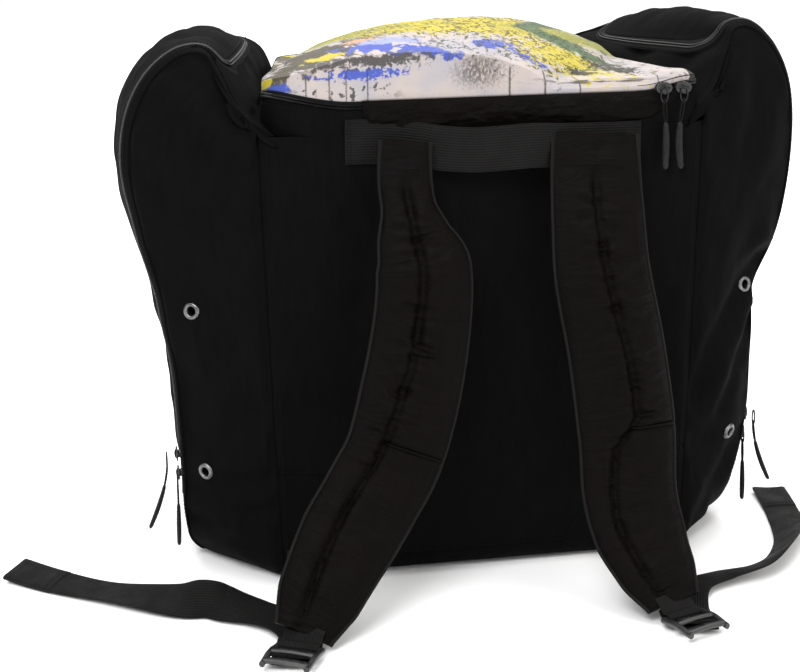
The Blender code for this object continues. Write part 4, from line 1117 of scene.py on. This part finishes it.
def wall_grid(rear, rows, columns):
    """Points over the back or front panel, with their share of the half width and their height."""
    z = np.linspace(PANEL_FOOT, WALL_TOP, rows)
    edge = side_seam(z, rear)
    share = np.linspace(-1, 1, columns)[None]
    x = edge[:, None, 0] * share
    y = np.broadcast_to(edge[:, None, 1], x.shape)
    return tucked(np.stack([x, y, np.broadcast_to(z[:, None], x.shape)], axis=-1)), share, z[:, None]


# The seam that crosses each lower corner of the back panel, in X (on the right) and Z.
PATCH_SEAM = np.array((
    (0.1455, 0.0800), (0.133, 0.0790), (0.115, 0.0770), (0.098, 0.0680), (0.080, 0.0500),
    (0.064, 0.0280), (0.056, 0.0100),
))  # fmt: skip
PATCH_SEAMS = {"left": PATCH_SEAM * [-1, 1], "right": PATCH_SEAM}
SOFT_CREASES = ((-0.088, 0.04, 0.0016), (0.012, -0.05, 0.0012), (0.118, 0.02, 0.0014))  # X, lean, depth


def back_panel():
    grid, share, z = wall_grid(True, 240, 190)
    x = grid[..., 0]
    taper = smoothstep(1, 0.95, np.abs(share)) * smoothstep(PANEL_FOOT, 0.02, z)
    taper = taper * smoothstep(WALL_TOP, 0.295, z)
    lump = soft_noise(grid, (0.050, 0.05, 0.085), 51, 3) * 0.0026
    lump += soft_noise(grid, (0.012, 0.03, 0.020), 57, 2) * 0.0006
    for middle, lean, depth in SOFT_CREASES:
        far = (x - middle - lean * (z - 0.15)) / 0.010
        lump -= depth * np.exp(-(far**2)) * smoothstep(0.03, 0.10, z) * smoothstep(0.27, 0.20, z)
    lift = lump * taper
    edge = (1 - np.abs(share)) * 0.146
    lift -= 0.0024 * np.exp(-((edge / 0.0032) ** 2))
    lift -= 0.0011 * np.exp(-(((z - 0.0155) / 0.0011) ** 2))
    lift += 0.0010 * smoothstep(0.0150, 0.0130, z)
    for seam in PATCH_SEAMS.values():
        far = distance_to(x, grid[..., 2], resampled(smooth_through(seam, np.linspace(0, 1, 40)), 30))
        lift -= 0.0010 * np.exp(-((far / 0.0013) ** 2))
    grid[..., 1] -= lift
    made = cloth("back_cloth", grid, ["shell", "lining"])
    place(made, "bag", "shell_fabric", "back_panel")


def back_stitching():
    rows = []
    for word, seam in PATCH_SEAMS.items():
        line = smooth_through(seam, np.linspace(0, 1, 120))
        line = np.column_stack([line[:, 0], np.full(120, BACK_Y - 0.0006), line[:, 1] + 0.0022])
        rows.append(stitches(f"{word}_patch_stitch", line[8:], (0, -1, 0)))
    left_end, right_end = (-0.141, BACK_Y - 0.0003, 0.0178), (0.141, BACK_Y - 0.0003, 0.0178)
    rows.append(stitches("base_wrap_stitch", np.linspace(left_end, right_end, 200), (0, -1, 0)))
    for side in (-1, 1):
        line = side_seam(np.linspace(0.02, 0.30, 200), True) * [side, 1, 1] + [-0.0048 * side, -0.0004, 0]
        rows.append(stitches(f"side_seam_stitch{side + 1}", line, (0, -1, 0)))
    place(joined("back_stitching", rows), "bag", "shell_fabric")


def front_panel():
    grid, share, z = wall_grid(False, 130, 100)
    taper = smoothstep(1, 0.9, np.abs(share)) * smoothstep(PANEL_FOOT, 0.03, z)
    taper = taper * smoothstep(WALL_TOP, 0.28, z)
    grid[..., 1] += (0.0035 + soft_noise(grid, (0.06, 0.05, 0.08), 61, 3) * 0.0030) * taper
    grid[..., 1] += soft_noise(grid, (0.016, 0.03, 0.022), 63, 2) * 0.0006 * taper
    made = cloth("front_cloth", grid, ["front_print", "lining"])
    place(made, "bag", "printed_fabric", "front_panel")


def partitions():
    for side, word in ((-1, "left"), (1, "right")):
        z = np.linspace(0.010, WALL_TOP - 0.002, 90)
        rear, front = side_seam(z, True) - [0.004, -0.004, 0], side_seam(z, False) - [0.003, 0.004, 0]
        share = np.linspace(0, 1, 80)[None, :, None]
        grid = tucked(rear[:, None] * (1 - share) + front[:, None] * share)
        taper = np.sin(np.pi * share[..., 0]) * np.sin(np.pi * np.linspace(0, 1, 90))[:, None]
        grid[..., 0] += soft_noise(grid, 0.06, 71 + side, 3) * 0.004 * taper
        grid[..., 0] *= side
        made = cloth(f"{word}_divider_cloth", grid, ["lining"], THIN_THICK)
        place(made, "bag", "lining", f"{word}_partition")


def ground_outline():
    """The outline at the foot of the walls, anticlockwise from above, from the rear left seam."""
    out = np.linspace(0, 1, 16)
    foot = np.zeros(16)
    back = pocket_face(foot, out, True)
    over = np.linspace(0, GUSSET_WIDTH, 40)
    side = gusset(np.zeros(40), over)
    front = pocket_face(foot, out[::-1], False)
    half = np.vstack([back[:-1], side[:-1], front])
    right, left = settled(half, 1, tuck=False), settled(half, -1, tuck=False)
    line = np.vstack([right, left[::-1]])
    return resampled(np.vstack([line, line[:1]]), 301)[:-1, :2]


def boxed_node(node_name, name, look, bevel):
    """A rounded box that fills a node of the frame, with the box's low corner, size and centre."""
    low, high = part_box(node_name)
    size, centre = np.array(high - low), np.array(low + high) / 2
    return boxy(name, centre, np.eye(3), size, look, bevel), low, size, centre


def base():
    """The base cloth: turned up round its edge, flat on the floor, closed at its middle."""
    outline = ground_outline()
    levels = (0.0070, 0.0045, 0.0025, 0.0010, FLOOR_GAP)
    grid = [tucked(np.column_stack([outline, np.full(len(outline), z)])) for z in levels]
    for share in (0.85, 0.65, 0.45, 0.25, 0.02):
        grid.append(np.column_stack([grid[4][:, :2] * share, np.full(len(outline), FLOOR_GAP)]))
    grid = np.array(grid)
    faces = grid_faces(*grid.shape[:2], wrap=True)
    if facing_out(grid, (0, 0, 0.05)) < 0:
        faces = [face[::-1] for face in faces]
    points = grid.reshape(-1, 3)
    looks = ["shell", "lining"]
    made = thicken(mesh_object("base_cloth", points, faces, looks, points[:, :2]), looks, CLOTH_THICK)
    place(made, "bag", "shell_fabric", "base_panel")


def stiffeners():
    board = boxed_node("base_board", "base_stiffener", "board", 0.002)[0]
    place(board, "bag", "stiffener", "base_board")
    foam = boxed_node("back_foam", "back_padding", "lining", 0.002)[0]
    place(foam, "bag", "foam", "back_foam")


def lid_route(inset, count):
    """The way round the lid's sides and front, from the hinge band's right end to its left end."""
    line = lid_outline(inset, 1600)
    rear = line[:, 1] < LID_REAR_Y + inset + 1e-4
    rear &= (line[:, 0] > HINGE_BAND[0]) & (line[:, 0] < HINGE_BAND[1])
    after = (np.flatnonzero(rear)[-1] + 1) % len(line)
    return resampled(np.roll(line, -after, axis=0)[: len(line) - rear.sum()], count)


def round_the_lid(inset, count, height, drop=1.0):
    """Points and outward normals along the lid's open edge, following a share of its zip's drop."""
    route = lid_route(inset, count)
    run = unit(np.gradient(route, axis=0))
    normals = np.column_stack([run[:, 1], -run[:, 0], np.zeros(count)])
    return np.column_stack([route, height + drop * zip_drop(route[:, 0], route[:, 1])]), normals


def rim():
    """The band of cloth between the walls and the lid's zip."""
    line = lid_outline(0.0, 420)
    after, before = np.roll(line, -1, 0), np.roll(line, 1, 0)
    out = unit(np.stack([after[:, 1] - before[:, 1], before[:, 0] - after[:, 0]], axis=-1))
    drop = zip_drop(line[:, 0], line[:, 1])
    grid = []
    for share in np.linspace(0, 1, 14):
        bulge = 0.0012 * math.sin(share * math.pi) + 0.0008 * (1 - share)
        z = RIM_FOOT + (RIM_TOP - RIM_FOOT) * share
        level = np.column_stack([line, np.full(len(line), z)])
        ripple = soft_noise(level, (0.02, 0.02, 0.05), 77, 2) * 0.0008
        ring = line + out * (bulge + ripple * math.sin(share * math.pi))[:, None]
        grid.append(np.column_stack([ring, z + drop * smoothstep(0, 1, share)]))
    grid = np.array(grid)
    closed = np.concatenate([grid, grid[:, :1]], axis=1)
    made = cloth("rim_cloth", closed, ["shell", "lining"], THIN_THICK)
    place(made, "bag", "shell_fabric", "top_rim")


def lid_zip():
    """Both halves of the lid's zip, then the stitch row under it."""
    halves = (("lower", -COIL_GAP, 0.3290, "bag"), ("upper", COIL_GAP, 0.3343, "lid"))
    for half, gap, tape_height, body in halves:
        points, normals = round_the_lid(-0.0002, 3300, LID_SPLIT + gap)
        place(coil_along(f"lid_{half}_coil", points, normals), body, "zip_coil", f"lid_zip_{half}")
        points, normals = round_the_lid(0.0004, 700, tape_height)
        place(tape_along(f"lid_{half}_tape", points, normals), body, "zip_coil")
    points, normals = round_the_lid(-0.0010, 1100, 0.3262, 0.85)
    place(stitches("rim_stitching", points, normals), "bag", "shell_fabric")


def hinge_band():
    """The crinkled band sewn over the hinge."""
    x = np.linspace(HINGE_BAND[0] - 0.002, BAND_END, 260)
    share = np.linspace(0, 1, 34)
    right = smoothstep(0.070, BAND_END, x)[None]
    low = np.interp(x, BAND_FOOT[0], BAND_FOOT[1])[None]
    top = RIM_TOP + 0.0018 * smoothstep(0.106, 0.130, x)[None]
    z = low + (top - low) * share[:, None]
    left = smoothstep(-0.082, -0.076, x)[None]
    bulge = 0.0034 * np.sin(np.pi * share[:, None]) ** 0.7 * left * (1 - 0.6 * right) + 0.0006
    grid = np.stack([np.broadcast_to(x, z.shape), BACK_Y - bulge, z], axis=-1)
    crinkle = soft_noise(grid, (0.011, 0.03, 0.007), 83, 3) * 0.0016
    crinkle += np.abs(soft_noise(grid, (0.022, 0.03, 0.0045), 87, 2)) * 0.0012
    grid[..., 1] -= crinkle * np.sin(np.pi * share[:, None]) * left
    made = cloth("hinge_band_cloth", grid, ["nylon", "lining"], SHELL_THICK)
    place(made, "bag", "strap_fabric", "lid_hinge_band")


def hinge_cloth():
    """The hidden cloth behind that band."""
    z = np.linspace(0.3240, 0.3350, 12)
    x = np.linspace(HINGE_BAND[0] + 0.001, HINGE_BAND[1] - 0.001, 120)
    grid = np.stack(np.broadcast_arrays(x[None], HINGE_CLOTH_Y, z[:, None]), axis=-1)
    made = cloth("hinge_cloth", grid, ["nylon", "lining"], 0.0010)
    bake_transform(made)
    dress(made, "strap_fabric")


def lid():
    """The lid: a low flat band round its edge, and an oval dome that swells out of it."""
    around = lid_outline(0.0, 420)
    middle = np.array([0.0, -0.020])
    reach = np.concatenate([[1.0, 1.0, 1.0], np.sin(np.linspace(math.pi / 2, 0.0015, 100))])
    grid = np.zeros((len(reach), 420, 3))
    grid[..., :2] = middle + (around - middle) * reach[:, None, None]
    x, y = grid[..., 0], grid[..., 1]
    from_x, from_y = x - DOME_CENTRE[0], y - DOME_CENTRE[1]
    far = ((from_x - DOME_SHEAR * from_y) / DOME_AXES[0]) ** 2 + (from_y / DOME_AXES[1]) ** 2
    dome = DOME_RISE * np.maximum(1 - far, 0) ** DOME_POWER
    band = (0.0010 + 0.0035 * smoothstep(-0.06, 0.09, x)) * smoothstep(1.0, 0.955, reach)[:, None] ** 0.6
    soft = 0.0012
    grid[..., 2] = LID_EDGE + soft * np.log(np.exp(dome / soft) + np.exp(band / soft))
    grid[..., 2] -= soft * math.log(2) * np.exp(-(dome + band) / 0.003)
    grid[:3, :, 2] = np.array([0.3328, 0.3340, 0.3352])[:, None]
    z = grid[..., 2].copy()
    grid[..., 2] += lid_drop(x, y) * smoothstep(0.352, 0.334, z)
    lump = soft_noise(grid, (0.055, 0.055, 0.03), 91, 3) * 0.0020 + soft_noise(grid, 0.016, 93, 2) * 0.0006
    lump *= smoothstep(0.336, 0.346, z)
    away = unit(grid - np.array([0, 0, 0.30]))
    grid += away * lump[..., None]
    closed = np.concatenate([grid, grid[:, :1]], axis=1)
    uv = np.column_stack([closed[..., 0].ravel(), (closed[..., 1] + closed[..., 2]).ravel()])
    faces = grid_faces(*closed.shape[:2], flip=facing_out(closed, (0, 0, 0.3)) < 0)
    looks = ["print", "lining"]
    made = thicken(mesh_object("lid_cloth", closed.reshape(-1, 3), faces, looks, uv), looks, 0.0024)
    place(made, "lid", "printed_fabric", "lid_panel")


# ---- Handle, straps, webbing ---------------------------------------------------------------------
def haul_handle():
    """A band of webbing sewn flat at both ends, its slack middle standing off the panel."""
    line = np.array((
        (-0.0940, -0.1318, 0.3040), (-0.0700, -0.1322, 0.3035), (-0.0480, -0.1336, 0.3010),
        (-0.0300, -0.1385, 0.2985), (-0.0100, -0.1440, 0.2975), (0.0100, -0.1465, 0.2985),
        (0.0290, -0.1450, 0.2990), (0.0480, -0.1395, 0.2975), (0.0640, -0.1345, 0.2965),
        (0.0850, -0.1324, 0.2960), (0.1050, -0.1319, 0.2960),
    ))  # fmt: skip
    places = even_steps(line, 240)
    points = smooth_through(line, places)
    normals = np.column_stack([0 * places, -1 + 0 * places, 0.10 * np.sin(places * math.pi)])
    half = int(np.argmin(np.abs(points[:, 0] - 0.0125)))
    section = band_section(0.0290, 0.0021, 15)
    halves = (("left", slice(0, half + 1), -0.046, -0.026), ("right", slice(half, 240), 0.062, 0.042))
    for word, part, edge, mid in halves:
        band = swept(f"handle_{word}_webbing", points[part], normals[part], section, "webbing")
        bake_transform(band)
        dress(band, "webbing", "haul_handle")


def handle_stitching():
    """Double rows across the handle's sewn ends, and single rows along the left one."""
    y, half = -0.1334, 0.0135
    rows = []
    for x, z in ((-0.0915, 0.3040), (-0.0560, 0.3020), (0.1025, 0.2960)):
        for k in (-0.0010, 0.0010):
            line = np.linspace((x + k, y, z - half), (x + k, y, z + half), 20)
            rows.append(stitches(f"handle_row{x + k:.4f}", line, (0, -1, 0), 0.0024))
    for z in (0.2915, 0.3165):
        line = np.linspace((-0.0915, y, z), (-0.0560, y, z), 30)
        rows.append(stitches(f"handle_side{z:.4f}", line, (0, -1, 0), 0.0024))
    place(joined("handle_stitching", rows), "bag", "webbing")


# The seam down each strap: share of the way down, then place across from -1 to 1.
STITCH_LINES = {
    "left": ((0, 0.0), (0.15, 0.0), (0.25, -0.06), (0.45, -0.14), (0.60, -0.30), (0.75, -0.36), (1, -0.20)),
    "right": ((0, 0.0), (0.15, -0.04), (0.35, 0.10), (0.55, 0.22), (0.60, 0.20), (0.66, -0.30),
              (0.8, -0.45), (1, -0.35)),
}  # fmt: skip
LOBE_GAIN = {"left": (1.0, 0.9), "right": (0.8, 1.0)}


def seam_at(word, share):
    return np.interp(share, *np.array(STITCH_LINES[word]).T)


def strap_frame(word, count):
    """Points down a strap with their sideways and outward directions, share of the way and width."""
    line = np.array(STRAPS[word]["line"])
    places = even_steps(line, count)
    points = smooth_through(line, places)
    run = unit(np.gradient(points, axis=0))
    normals = np.cross(run, [1.0, 0.0, 0.0])
    normals = unit(np.where(normals[:, 1:2] > 0, -normals, normals))
    side, normals = frames_along(points, normals)
    side *= np.where(side[:, :1] < 0, -1, 1)
    share = np.linspace(0, 1, count)
    table = np.array(STRAPS[word]["width"])
    width = np.interp(share, table[:, 0], table[:, 1])
    kernel = np.hanning(15) / np.hanning(15).sum()
    width = np.convolve(np.pad(width, 7, mode="edge"), kernel, mode="valid")
    return points, side, normals, share, width


def pad_grids(word, strap):
    """Points over a strap's upper and under side, then places across and along it for its cloth."""
    points, side, normals, share, width = strap
    t = np.linspace(-1, 1, PAD_COLUMNS)[None]
    s = share[:, None]
    length = lengths_along(points)[:, None]
    middle = seam_at(word, share)[:, None]
    full = smoothstep(-0.02, 0.16, s) * smoothstep(1.03, 0.90, s)
    thick = 0.0012 + (0.0014 + 0.0046 * full) * np.maximum(1 - np.abs(t) ** 3.2, 0) ** 0.55
    far = (t - middle) * width[:, None] / 2
    thick *= 1 - 0.55 * np.exp(-((far / 0.0034) ** 2)) * smoothstep(0.04, 0.12, s)
    beyond = (s - STRAPS[word]["cross_seam"]) * length[-1]
    right_of = smoothstep(-0.03, 0.03, t - middle)
    thick -= 0.0020 * np.exp(-((beyond / 0.0022) ** 2)) * right_of
    thick -= 0.0008 * right_of * smoothstep(0, 0.004, beyond)
    x, y = t * width[:, None] / 2 + 0 * s, length + 0 * t
    seed = 101 if word == "left" else 107
    flat = np.stack([x, y, 0 * x], axis=-1)
    ridges = 1 - 2 * np.abs(soft_noise(flat, (0.026, 0.0085, 1), seed, 2))
    near = np.exp(-((far / 0.016) ** 2)) * smoothstep(0.08, 0.2, s)
    near = near * (1 - 0.75 * right_of * smoothstep(0, 0.01, beyond))
    near = near * (0.35 + 0.65 * smoothstep(0.78, 0.55, s))
    gain = np.where(t < middle, LOBE_GAIN[word][0], LOBE_GAIN[word][1])
    lump = ridges * near * gain * 0.0024
    lump += soft_noise(flat, (0.030, 0.016, 1), seed + 5, 3) * 0.0018 * (1 - np.abs(t) ** 4)
    thick = np.maximum(thick + lump * (1 - np.abs(t) ** 6), 0.0010)
    sag = 0.0022 * (t**2) * smoothstep(0.1, 0.4, s)
    under = -(0.0010 + 0.0026 * full * np.maximum(1 - np.abs(t) ** 4, 0) ** 0.5)
    across = side[:, None] * (t * width[:, None] / 2)[..., None]
    top = points[:, None] + across + normals[:, None] * (thick - sag)[..., None]
    low = points[:, None] + across + normals[:, None] * (under - sag)[..., None]
    return top, low, x, y


def strap_pad(word):
    """A shoulder strap: two padded lobes either side of a seam, in one closed cloth."""
    strap = strap_frame(word, PAD_ROWS)
    top, low, x, y = pad_grids(word, strap)
    grid = np.concatenate([top, low[:, ::-1]], axis=1)
    sides = grid.shape[1]
    faces = grid_faces(PAD_ROWS, sides, wrap=True)
    faces += [tuple(reversed(range(sides))), tuple((PAD_ROWS - 1) * sides + k for k in range(sides))]
    uv_x = np.concatenate([x, x[:, ::-1] + 0.2], axis=1)
    uv_y = np.concatenate([y, y], axis=1)
    uv = np.stack([uv_x, uv_y], axis=-1).reshape(-1, 2)
    pad = mesh_object(f"{word}_shoulder_pad", grid.reshape(-1, 3), faces, ["nylon"], uv)
    turn_out(pad)
    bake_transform(pad)
    dress(pad, "strap_fabric", f"{word}_strap_pad")
    strap_trim(word, strap, top)


def strap_trim(word, strap, top):
    """Stitch rows, edge bindings, the cross seam's piping and the bar tacks, all on the pad's upper side."""
    _, _, normals, share, width = strap

    def on_top(path_share, path_t, lift=0.0003):
        rows = np.clip(np.asarray(path_share) * (PAD_ROWS - 1), 0, PAD_ROWS - 1.001)
        cols = np.clip((np.asarray(path_t) + 1) / 2 * (PAD_COLUMNS - 1), 0, PAD_COLUMNS - 1.001)
        i, j = rows.astype(int), cols.astype(int)
        f, g = (rows - i)[:, None], (cols - j)[:, None]
        near = top[i, j] * (1 - f) + top[i + 1, j] * f
        next_to = top[i, j + 1] * (1 - f) + top[i + 1, j + 1] * f
        return near * (1 - g) + next_to * g + normals[i] * lift, normals[i]

    def trim(obj):
        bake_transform(obj)
        dress(obj, "strap_fabric")

    path = np.linspace(0.03, 0.985, 500)
    half_width = np.interp(path, share, width) / 2
    beside, inset = 0.0014 / half_width, 0.0065 / half_width
    centre = seam_at(word, path)
    pitch = 0.0032
    rows = [stitches(f"{word}_pad_row{k}", *on_top(path, centre + k * beside), pitch) for k in (-1, 1)]
    for k in (-1, 1):
        rows.append(stitches(f"{word}_pad_edge_row{k}", *on_top(path, k * (1 - inset)), pitch))
    trim(joined(f"{word}_pad_stitching", rows))
    for k, name in ((-1, "outer"), (1, "inner")):
        spot, normal = on_top(np.linspace(0.0, 1.0, 400), np.full(400, 0.985 * k), -0.0006)
        bead = round_section(1.0, 10, 0.9) * 0.00165
        trim(swept(f"{word}_{name}_binding", spot, normal, bead, "webbing"))
    cross = STRAPS[word]["cross_seam"]
    across = np.linspace(float(seam_at(word, cross)) + 0.02, 0.97, 60)
    spot, normal = on_top(np.full(60, cross), across, 0.0004)
    trim(swept(f"{word}_cross_piping", spot, normal, round_section(0.00115, 8), "nylon"))
    rows = []
    for at in (0.055, 0.066, 0.945, 0.958):
        spot, normal = on_top(np.full(40, at), np.linspace(-0.85, 0.85, 40))
        rows.append(stitches(f"{word}_tack{at}", spot, normal, 0.0018))
    trim(joined(f"{word}_bar_tacks", rows))


def turn_out(obj):
    """Makes every face of a closed mesh point outwards."""
    bpy.ops.object.select_all(action="DESELECT")
    obj.select_set(True)
    bpy.context.view_layer.objects.active = obj
    bpy.ops.object.mode_set(mode="EDIT")
    bpy.ops.mesh.select_all(action="SELECT")
    bpy.ops.mesh.normals_make_consistent(inside=False)
    bpy.ops.object.mode_set(mode="OBJECT")


def leaning(points, degrees):
    """Band normals that start upright and lean over about the band's own run."""
    run = unit(np.gradient(points, axis=0))
    level = unit(np.stack([run[:, 1], -run[:, 0], 0 * run[:, 0]], axis=-1))
    turn = np.radians(degrees)[:, None]
    return np.array([0, 0, 1.0]) * np.cos(turn) + level * np.sin(turn)


def buckle_place(word):
    """The middle of a strap's buckle, the end of its pad, and the level way from the pad to the buckle."""
    buckle, end = np.array(STRAPS[word]["buckle"]), np.array(STRAPS[word]["line"][-1])
    return buckle, end, unit((buckle - end) * [1, 1, 0])


def webbing_tail(word):
    """The free webbing on the floor, with its end folded over twice and sewn."""
    buckle, _, along = buckle_place(word)
    tail = np.array([(*(buckle + along * 0.0030 + [0, 0, 0.0012]), 0), *TAILS[word]])
    points = smooth_through(tail, even_steps(tail, 420))
    length = lengths_along(points[:, :3])
    fold = smoothstep(length[-1] - 0.0415, length[-1] - 0.0400, length)
    thick = 0.0016 + 0.0018 * fold
    normals = leaning(points[:, :3], points[:, 3])
    section = np.array([band_section(WEBBING, value, 15) for value in thick])
    cup = 0.0011 * np.sin(length * 46) * smoothstep(0.02, 0.05, length)
    section = section + np.stack([0 * section[..., 0], cup[:, None] * (section[..., 0] / 0.0125) ** 2], -1)
    band = swept(f"{word}_tail_webbing", points[:, :3], normals, section, "webbing")
    place(band, f"{word}_strap", "webbing", f"{word}_webbing_tail")
    side, normal = frames_along(points[:, :3], normals)
    rows = []
    for back in (0.0375, 0.0355, 0.0050):
        k = int(np.argmin(np.abs(length - (length[-1] - back))))
        across = np.linspace(-0.0108, 0.0108, 20)[:, None]
        line = points[k, :3] + side[k] * across + normal[k] * thick[k] * 0.55
        rows.append(stitches(f"{word}_tail_row{back}", line, normal[k], 0.0022))
    place(joined(f"{word}_tail_stitching", rows), f"{word}_strap", "webbing")


def lower_webbing(word):
    """The webbing from the foot of the back panel to the buckle, lying on the floor."""
    x = STRAPS[word]["anchor"]
    buckle, _, along = buckle_place(word)
    start = np.array([x, BACK_Y - 0.0035, 0.0150])
    slot_at = buckle + along * 0.0047
    line = np.array([start, [x, BACK_Y - 0.0080, 0.0060], [*(start[:2] * 0.75 + slot_at[:2] * 0.25), 0.0022],
                     [*(start[:2] * 0.4 + slot_at[:2] * 0.6), 0.0018], [*slot_at[:2], 0.0032]])  # fmt: skip
    points = smooth_through(line, even_steps(line, 160))
    share = np.linspace(0, 1, 160)[:, None]
    off_panel, upright = np.array([0, -1.0, 0.1]), np.array([0, 0, 1.0])
    normals = unit(off_panel * smoothstep(0.2, 0.0, share) + upright * smoothstep(0, 0.2, share))
    section = band_section(WEBBING, 0.0016, 15)
    band = swept(f"{word}_feed_webbing", points, normals, section, "webbing")
    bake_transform(band)
    dress(band, "webbing", f"{word}_lower_webbing")


def strap_anchor(word):
    """The tab that holds the webbing at the foot of the back panel, sewn with a crossed square."""
    tab, low, size, centre = boxed_node(f"{word}_strap_anchor", f"{word}_anchor_tab", "webbing", 0.0010)
    place(tab, "bag", "strap_fabric", f"{word}_strap_anchor")
    half_x, half_z, y = size[0] * 0.40, size[2] * 0.38, low[1] - 0.0002
    box_line = [(-1, -1), (1, -1), (1, 1), (-1, 1), (-1, -1), (1, 1), (1, -1), (-1, 1)]
    corners = np.array([(centre[0] + half_x * a, y, centre[2] + half_z * b) for a, b in box_line])
    rows = stitches(f"{word}_anchor_stitching", resampled(corners, 220), (0, -1, 0), 0.0022)
    place(rows, "bag", "strap_fabric")


# A buckle's bars: place along it, lift, half width and half height.
BARS = (
    (-0.0127, -0.0002, 0.0021, 0.0019),
    (-0.0012, 0.0016, 0.0027, 0.0015),
    (0.0104, 0.0004, 0.0034, 0.0017),
)


def ladder_lock(word):
    """A ladder-lock: two side rails, and bars of different shapes across them."""
    centre, _, along = buckle_place(word)
    up = np.array([0, 0, 1.0])
    across = np.cross(up, along)
    half_length, half_width = 0.0143, 0.0150
    pieces = []
    for k in (-1, 1):
        reach = np.linspace(-half_length, half_length, 21)[:, None]
        bow = 0.0016 * np.sin((reach / half_length + 1) * math.pi / 2) ** 2
        out = k * (0.0149 - 0.0004 * (reach / half_length) ** 2)
        rail = centre + along * reach + across * out + up * (bow - 0.0004)
        pieces.append(swept(f"{word}_rail{k}", rail, up, round_section(0.0019, 12, 1.15), "buckle"))
    for k, (at, lift, wide, high) in enumerate(BARS):
        reach = np.linspace(-half_width, half_width, 25)[:, None]
        arch = 0.0008 * np.cos(reach / half_width * math.pi / 2)
        bar = centre + along * at + across * reach + up * (lift + arch)
        section = round_section(1.0, 12) * [wide, high]
        pieces.append(swept(f"{word}_bar{k}", bar, up, section, "buckle"))
    body = joined(f"{word}_ladder_buckle", pieces)
    place(body, f"{word}_buckle", "buckle", f"{word}_ladder_lock")


# How far back from the buckle's middle, and how high, the loop that holds it goes.
LOOP_BACK_UP = ((0.0158, 0.0030), (0.0125, 0.0034), (0.0092, 0.0012), (0.0110, -0.0030), (0.0160, -0.0012))


def buckle_loop(word):
    """The loop of webbing that runs from the pad's end round the buckle's nearest bar."""
    centre, end, along = buckle_place(word)
    up = np.array([0, 0, 1.0])
    start = end - unit(end - np.array(STRAPS[word]["line"][-2])) * 0.006
    turn = [centre - along * back + up * high for back, high in LOOP_BACK_UP]
    line = np.array([start, end + [0, 0, 0.0008], *turn, end - [0, 0, 0.0030]])
    points = smooth_through(line, even_steps(line, 120))
    normals = unit(np.cross(np.cross(up, along), unit(np.gradient(points, axis=0))))
    loop = swept(f"{word}_buckle_loop", points, normals, band_section(0.0262, 0.0014, 11), "webbing")
    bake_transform(loop)
    dress(loop, "webbing")


# ---- Assembly, floor, light and camera -----------------------------------------------------------
for side, word in ((-1, "left"), (1, "right")):
    pocket(side, word)
all_sliders()
back_panel()
back_stitching()
front_panel()
partitions()
base()
stiffeners()
rim()
lid_zip()
hinge_band()
hinge_cloth()
lid()
haul_handle()
handle_stitching()
for word in STRAPS:
    strap_pad(word)
    webbing_tail(word)
    lower_webbing(word)
    strap_anchor(word)
    ladder_lock(word)
    buckle_loop(word)


def paper_floor():
    bpy.ops.mesh.primitive_plane_add(size=24, location=(0, 0, -0.0001))
    floor = bpy.context.object
    floor.name = "floor"
    look, tree, shader = blank("paper_sweep")
    drift = noise_of(tree, node(tree, "TexCoord").outputs["Object"], 0.8, 2.0)
    colour = mixed(tree, drift, shade((0.925, 0.925, 0.925)), shade((0.94, 0.94, 0.94)))
    tree.links.new(colour, shader.inputs["Base Color"])
    shader.inputs["Roughness"].default_value = 0.95
    shader.inputs["Specular IOR Level"].default_value = 0.05
    floor.data.materials.append(look)


def area_light(name, at, target, size, power, colour=(1, 1, 1)):
    data = bpy.data.lights.new(name, "AREA")
    data.shape, data.size, data.size_y = "RECTANGLE", size[0], size[1]
    data.energy, data.color = power, colour
    lamp = bpy.data.objects.new(name, data)
    lamp.location = at
    lamp.rotation_euler = (Vector(target) - Vector(at)).to_track_quat("-Z", "Y").to_euler()
    bpy.context.scene.collection.objects.link(lamp)


paper_floor()
area_light("key", (-1.1, -1.9, 2.1), INSIDE, (1.2, 1.2), 62)
area_light("fill", (1.7, -1.6, 1.2), INSIDE, (1.6, 1.6), 26, (1.0, 0.98, 0.95))
area_light("top", (0.2, 1.7, 2.9), (0.3, 1.7, 0), (4.5, 3.6), 190)
world = bpy.data.worlds.new("studio")
bpy.context.scene.world = world
world.use_nodes = True
world.node_tree.nodes["Background"].inputs["Color"].default_value = (1, 1, 1, 1)
world.node_tree.nodes["Background"].inputs["Strength"].default_value = 0.85

CAMERA_AT, LENS, SENSOR = (-0.2636, -1.2226, 0.4692), 77.42, 36.0
YAW, PITCH, ROLL = 0.18495, 0.26107, -0.01320
ahead = Vector((math.sin(YAW) * math.cos(PITCH), math.cos(YAW) * math.cos(PITCH), -math.sin(PITCH)))
right = Vector((math.cos(YAW), -math.sin(YAW), 0))
up = right.cross(ahead)
right, up = right * math.cos(ROLL) + up * math.sin(ROLL), up * math.cos(ROLL) - right * math.sin(ROLL)
lens = bpy.data.cameras.new("camera")
lens.lens, lens.sensor_width = LENS, SENSOR
camera = bpy.data.objects.new("camera", lens)
camera.matrix_world = Matrix.Translation(CAMERA_AT) @ Matrix((right, up, -ahead)).transposed().to_4x4()
bpy.context.scene.collection.objects.link(camera)
bpy.context.scene.camera = camera
bpy.context.scene.view_settings.view_transform = "Standard"
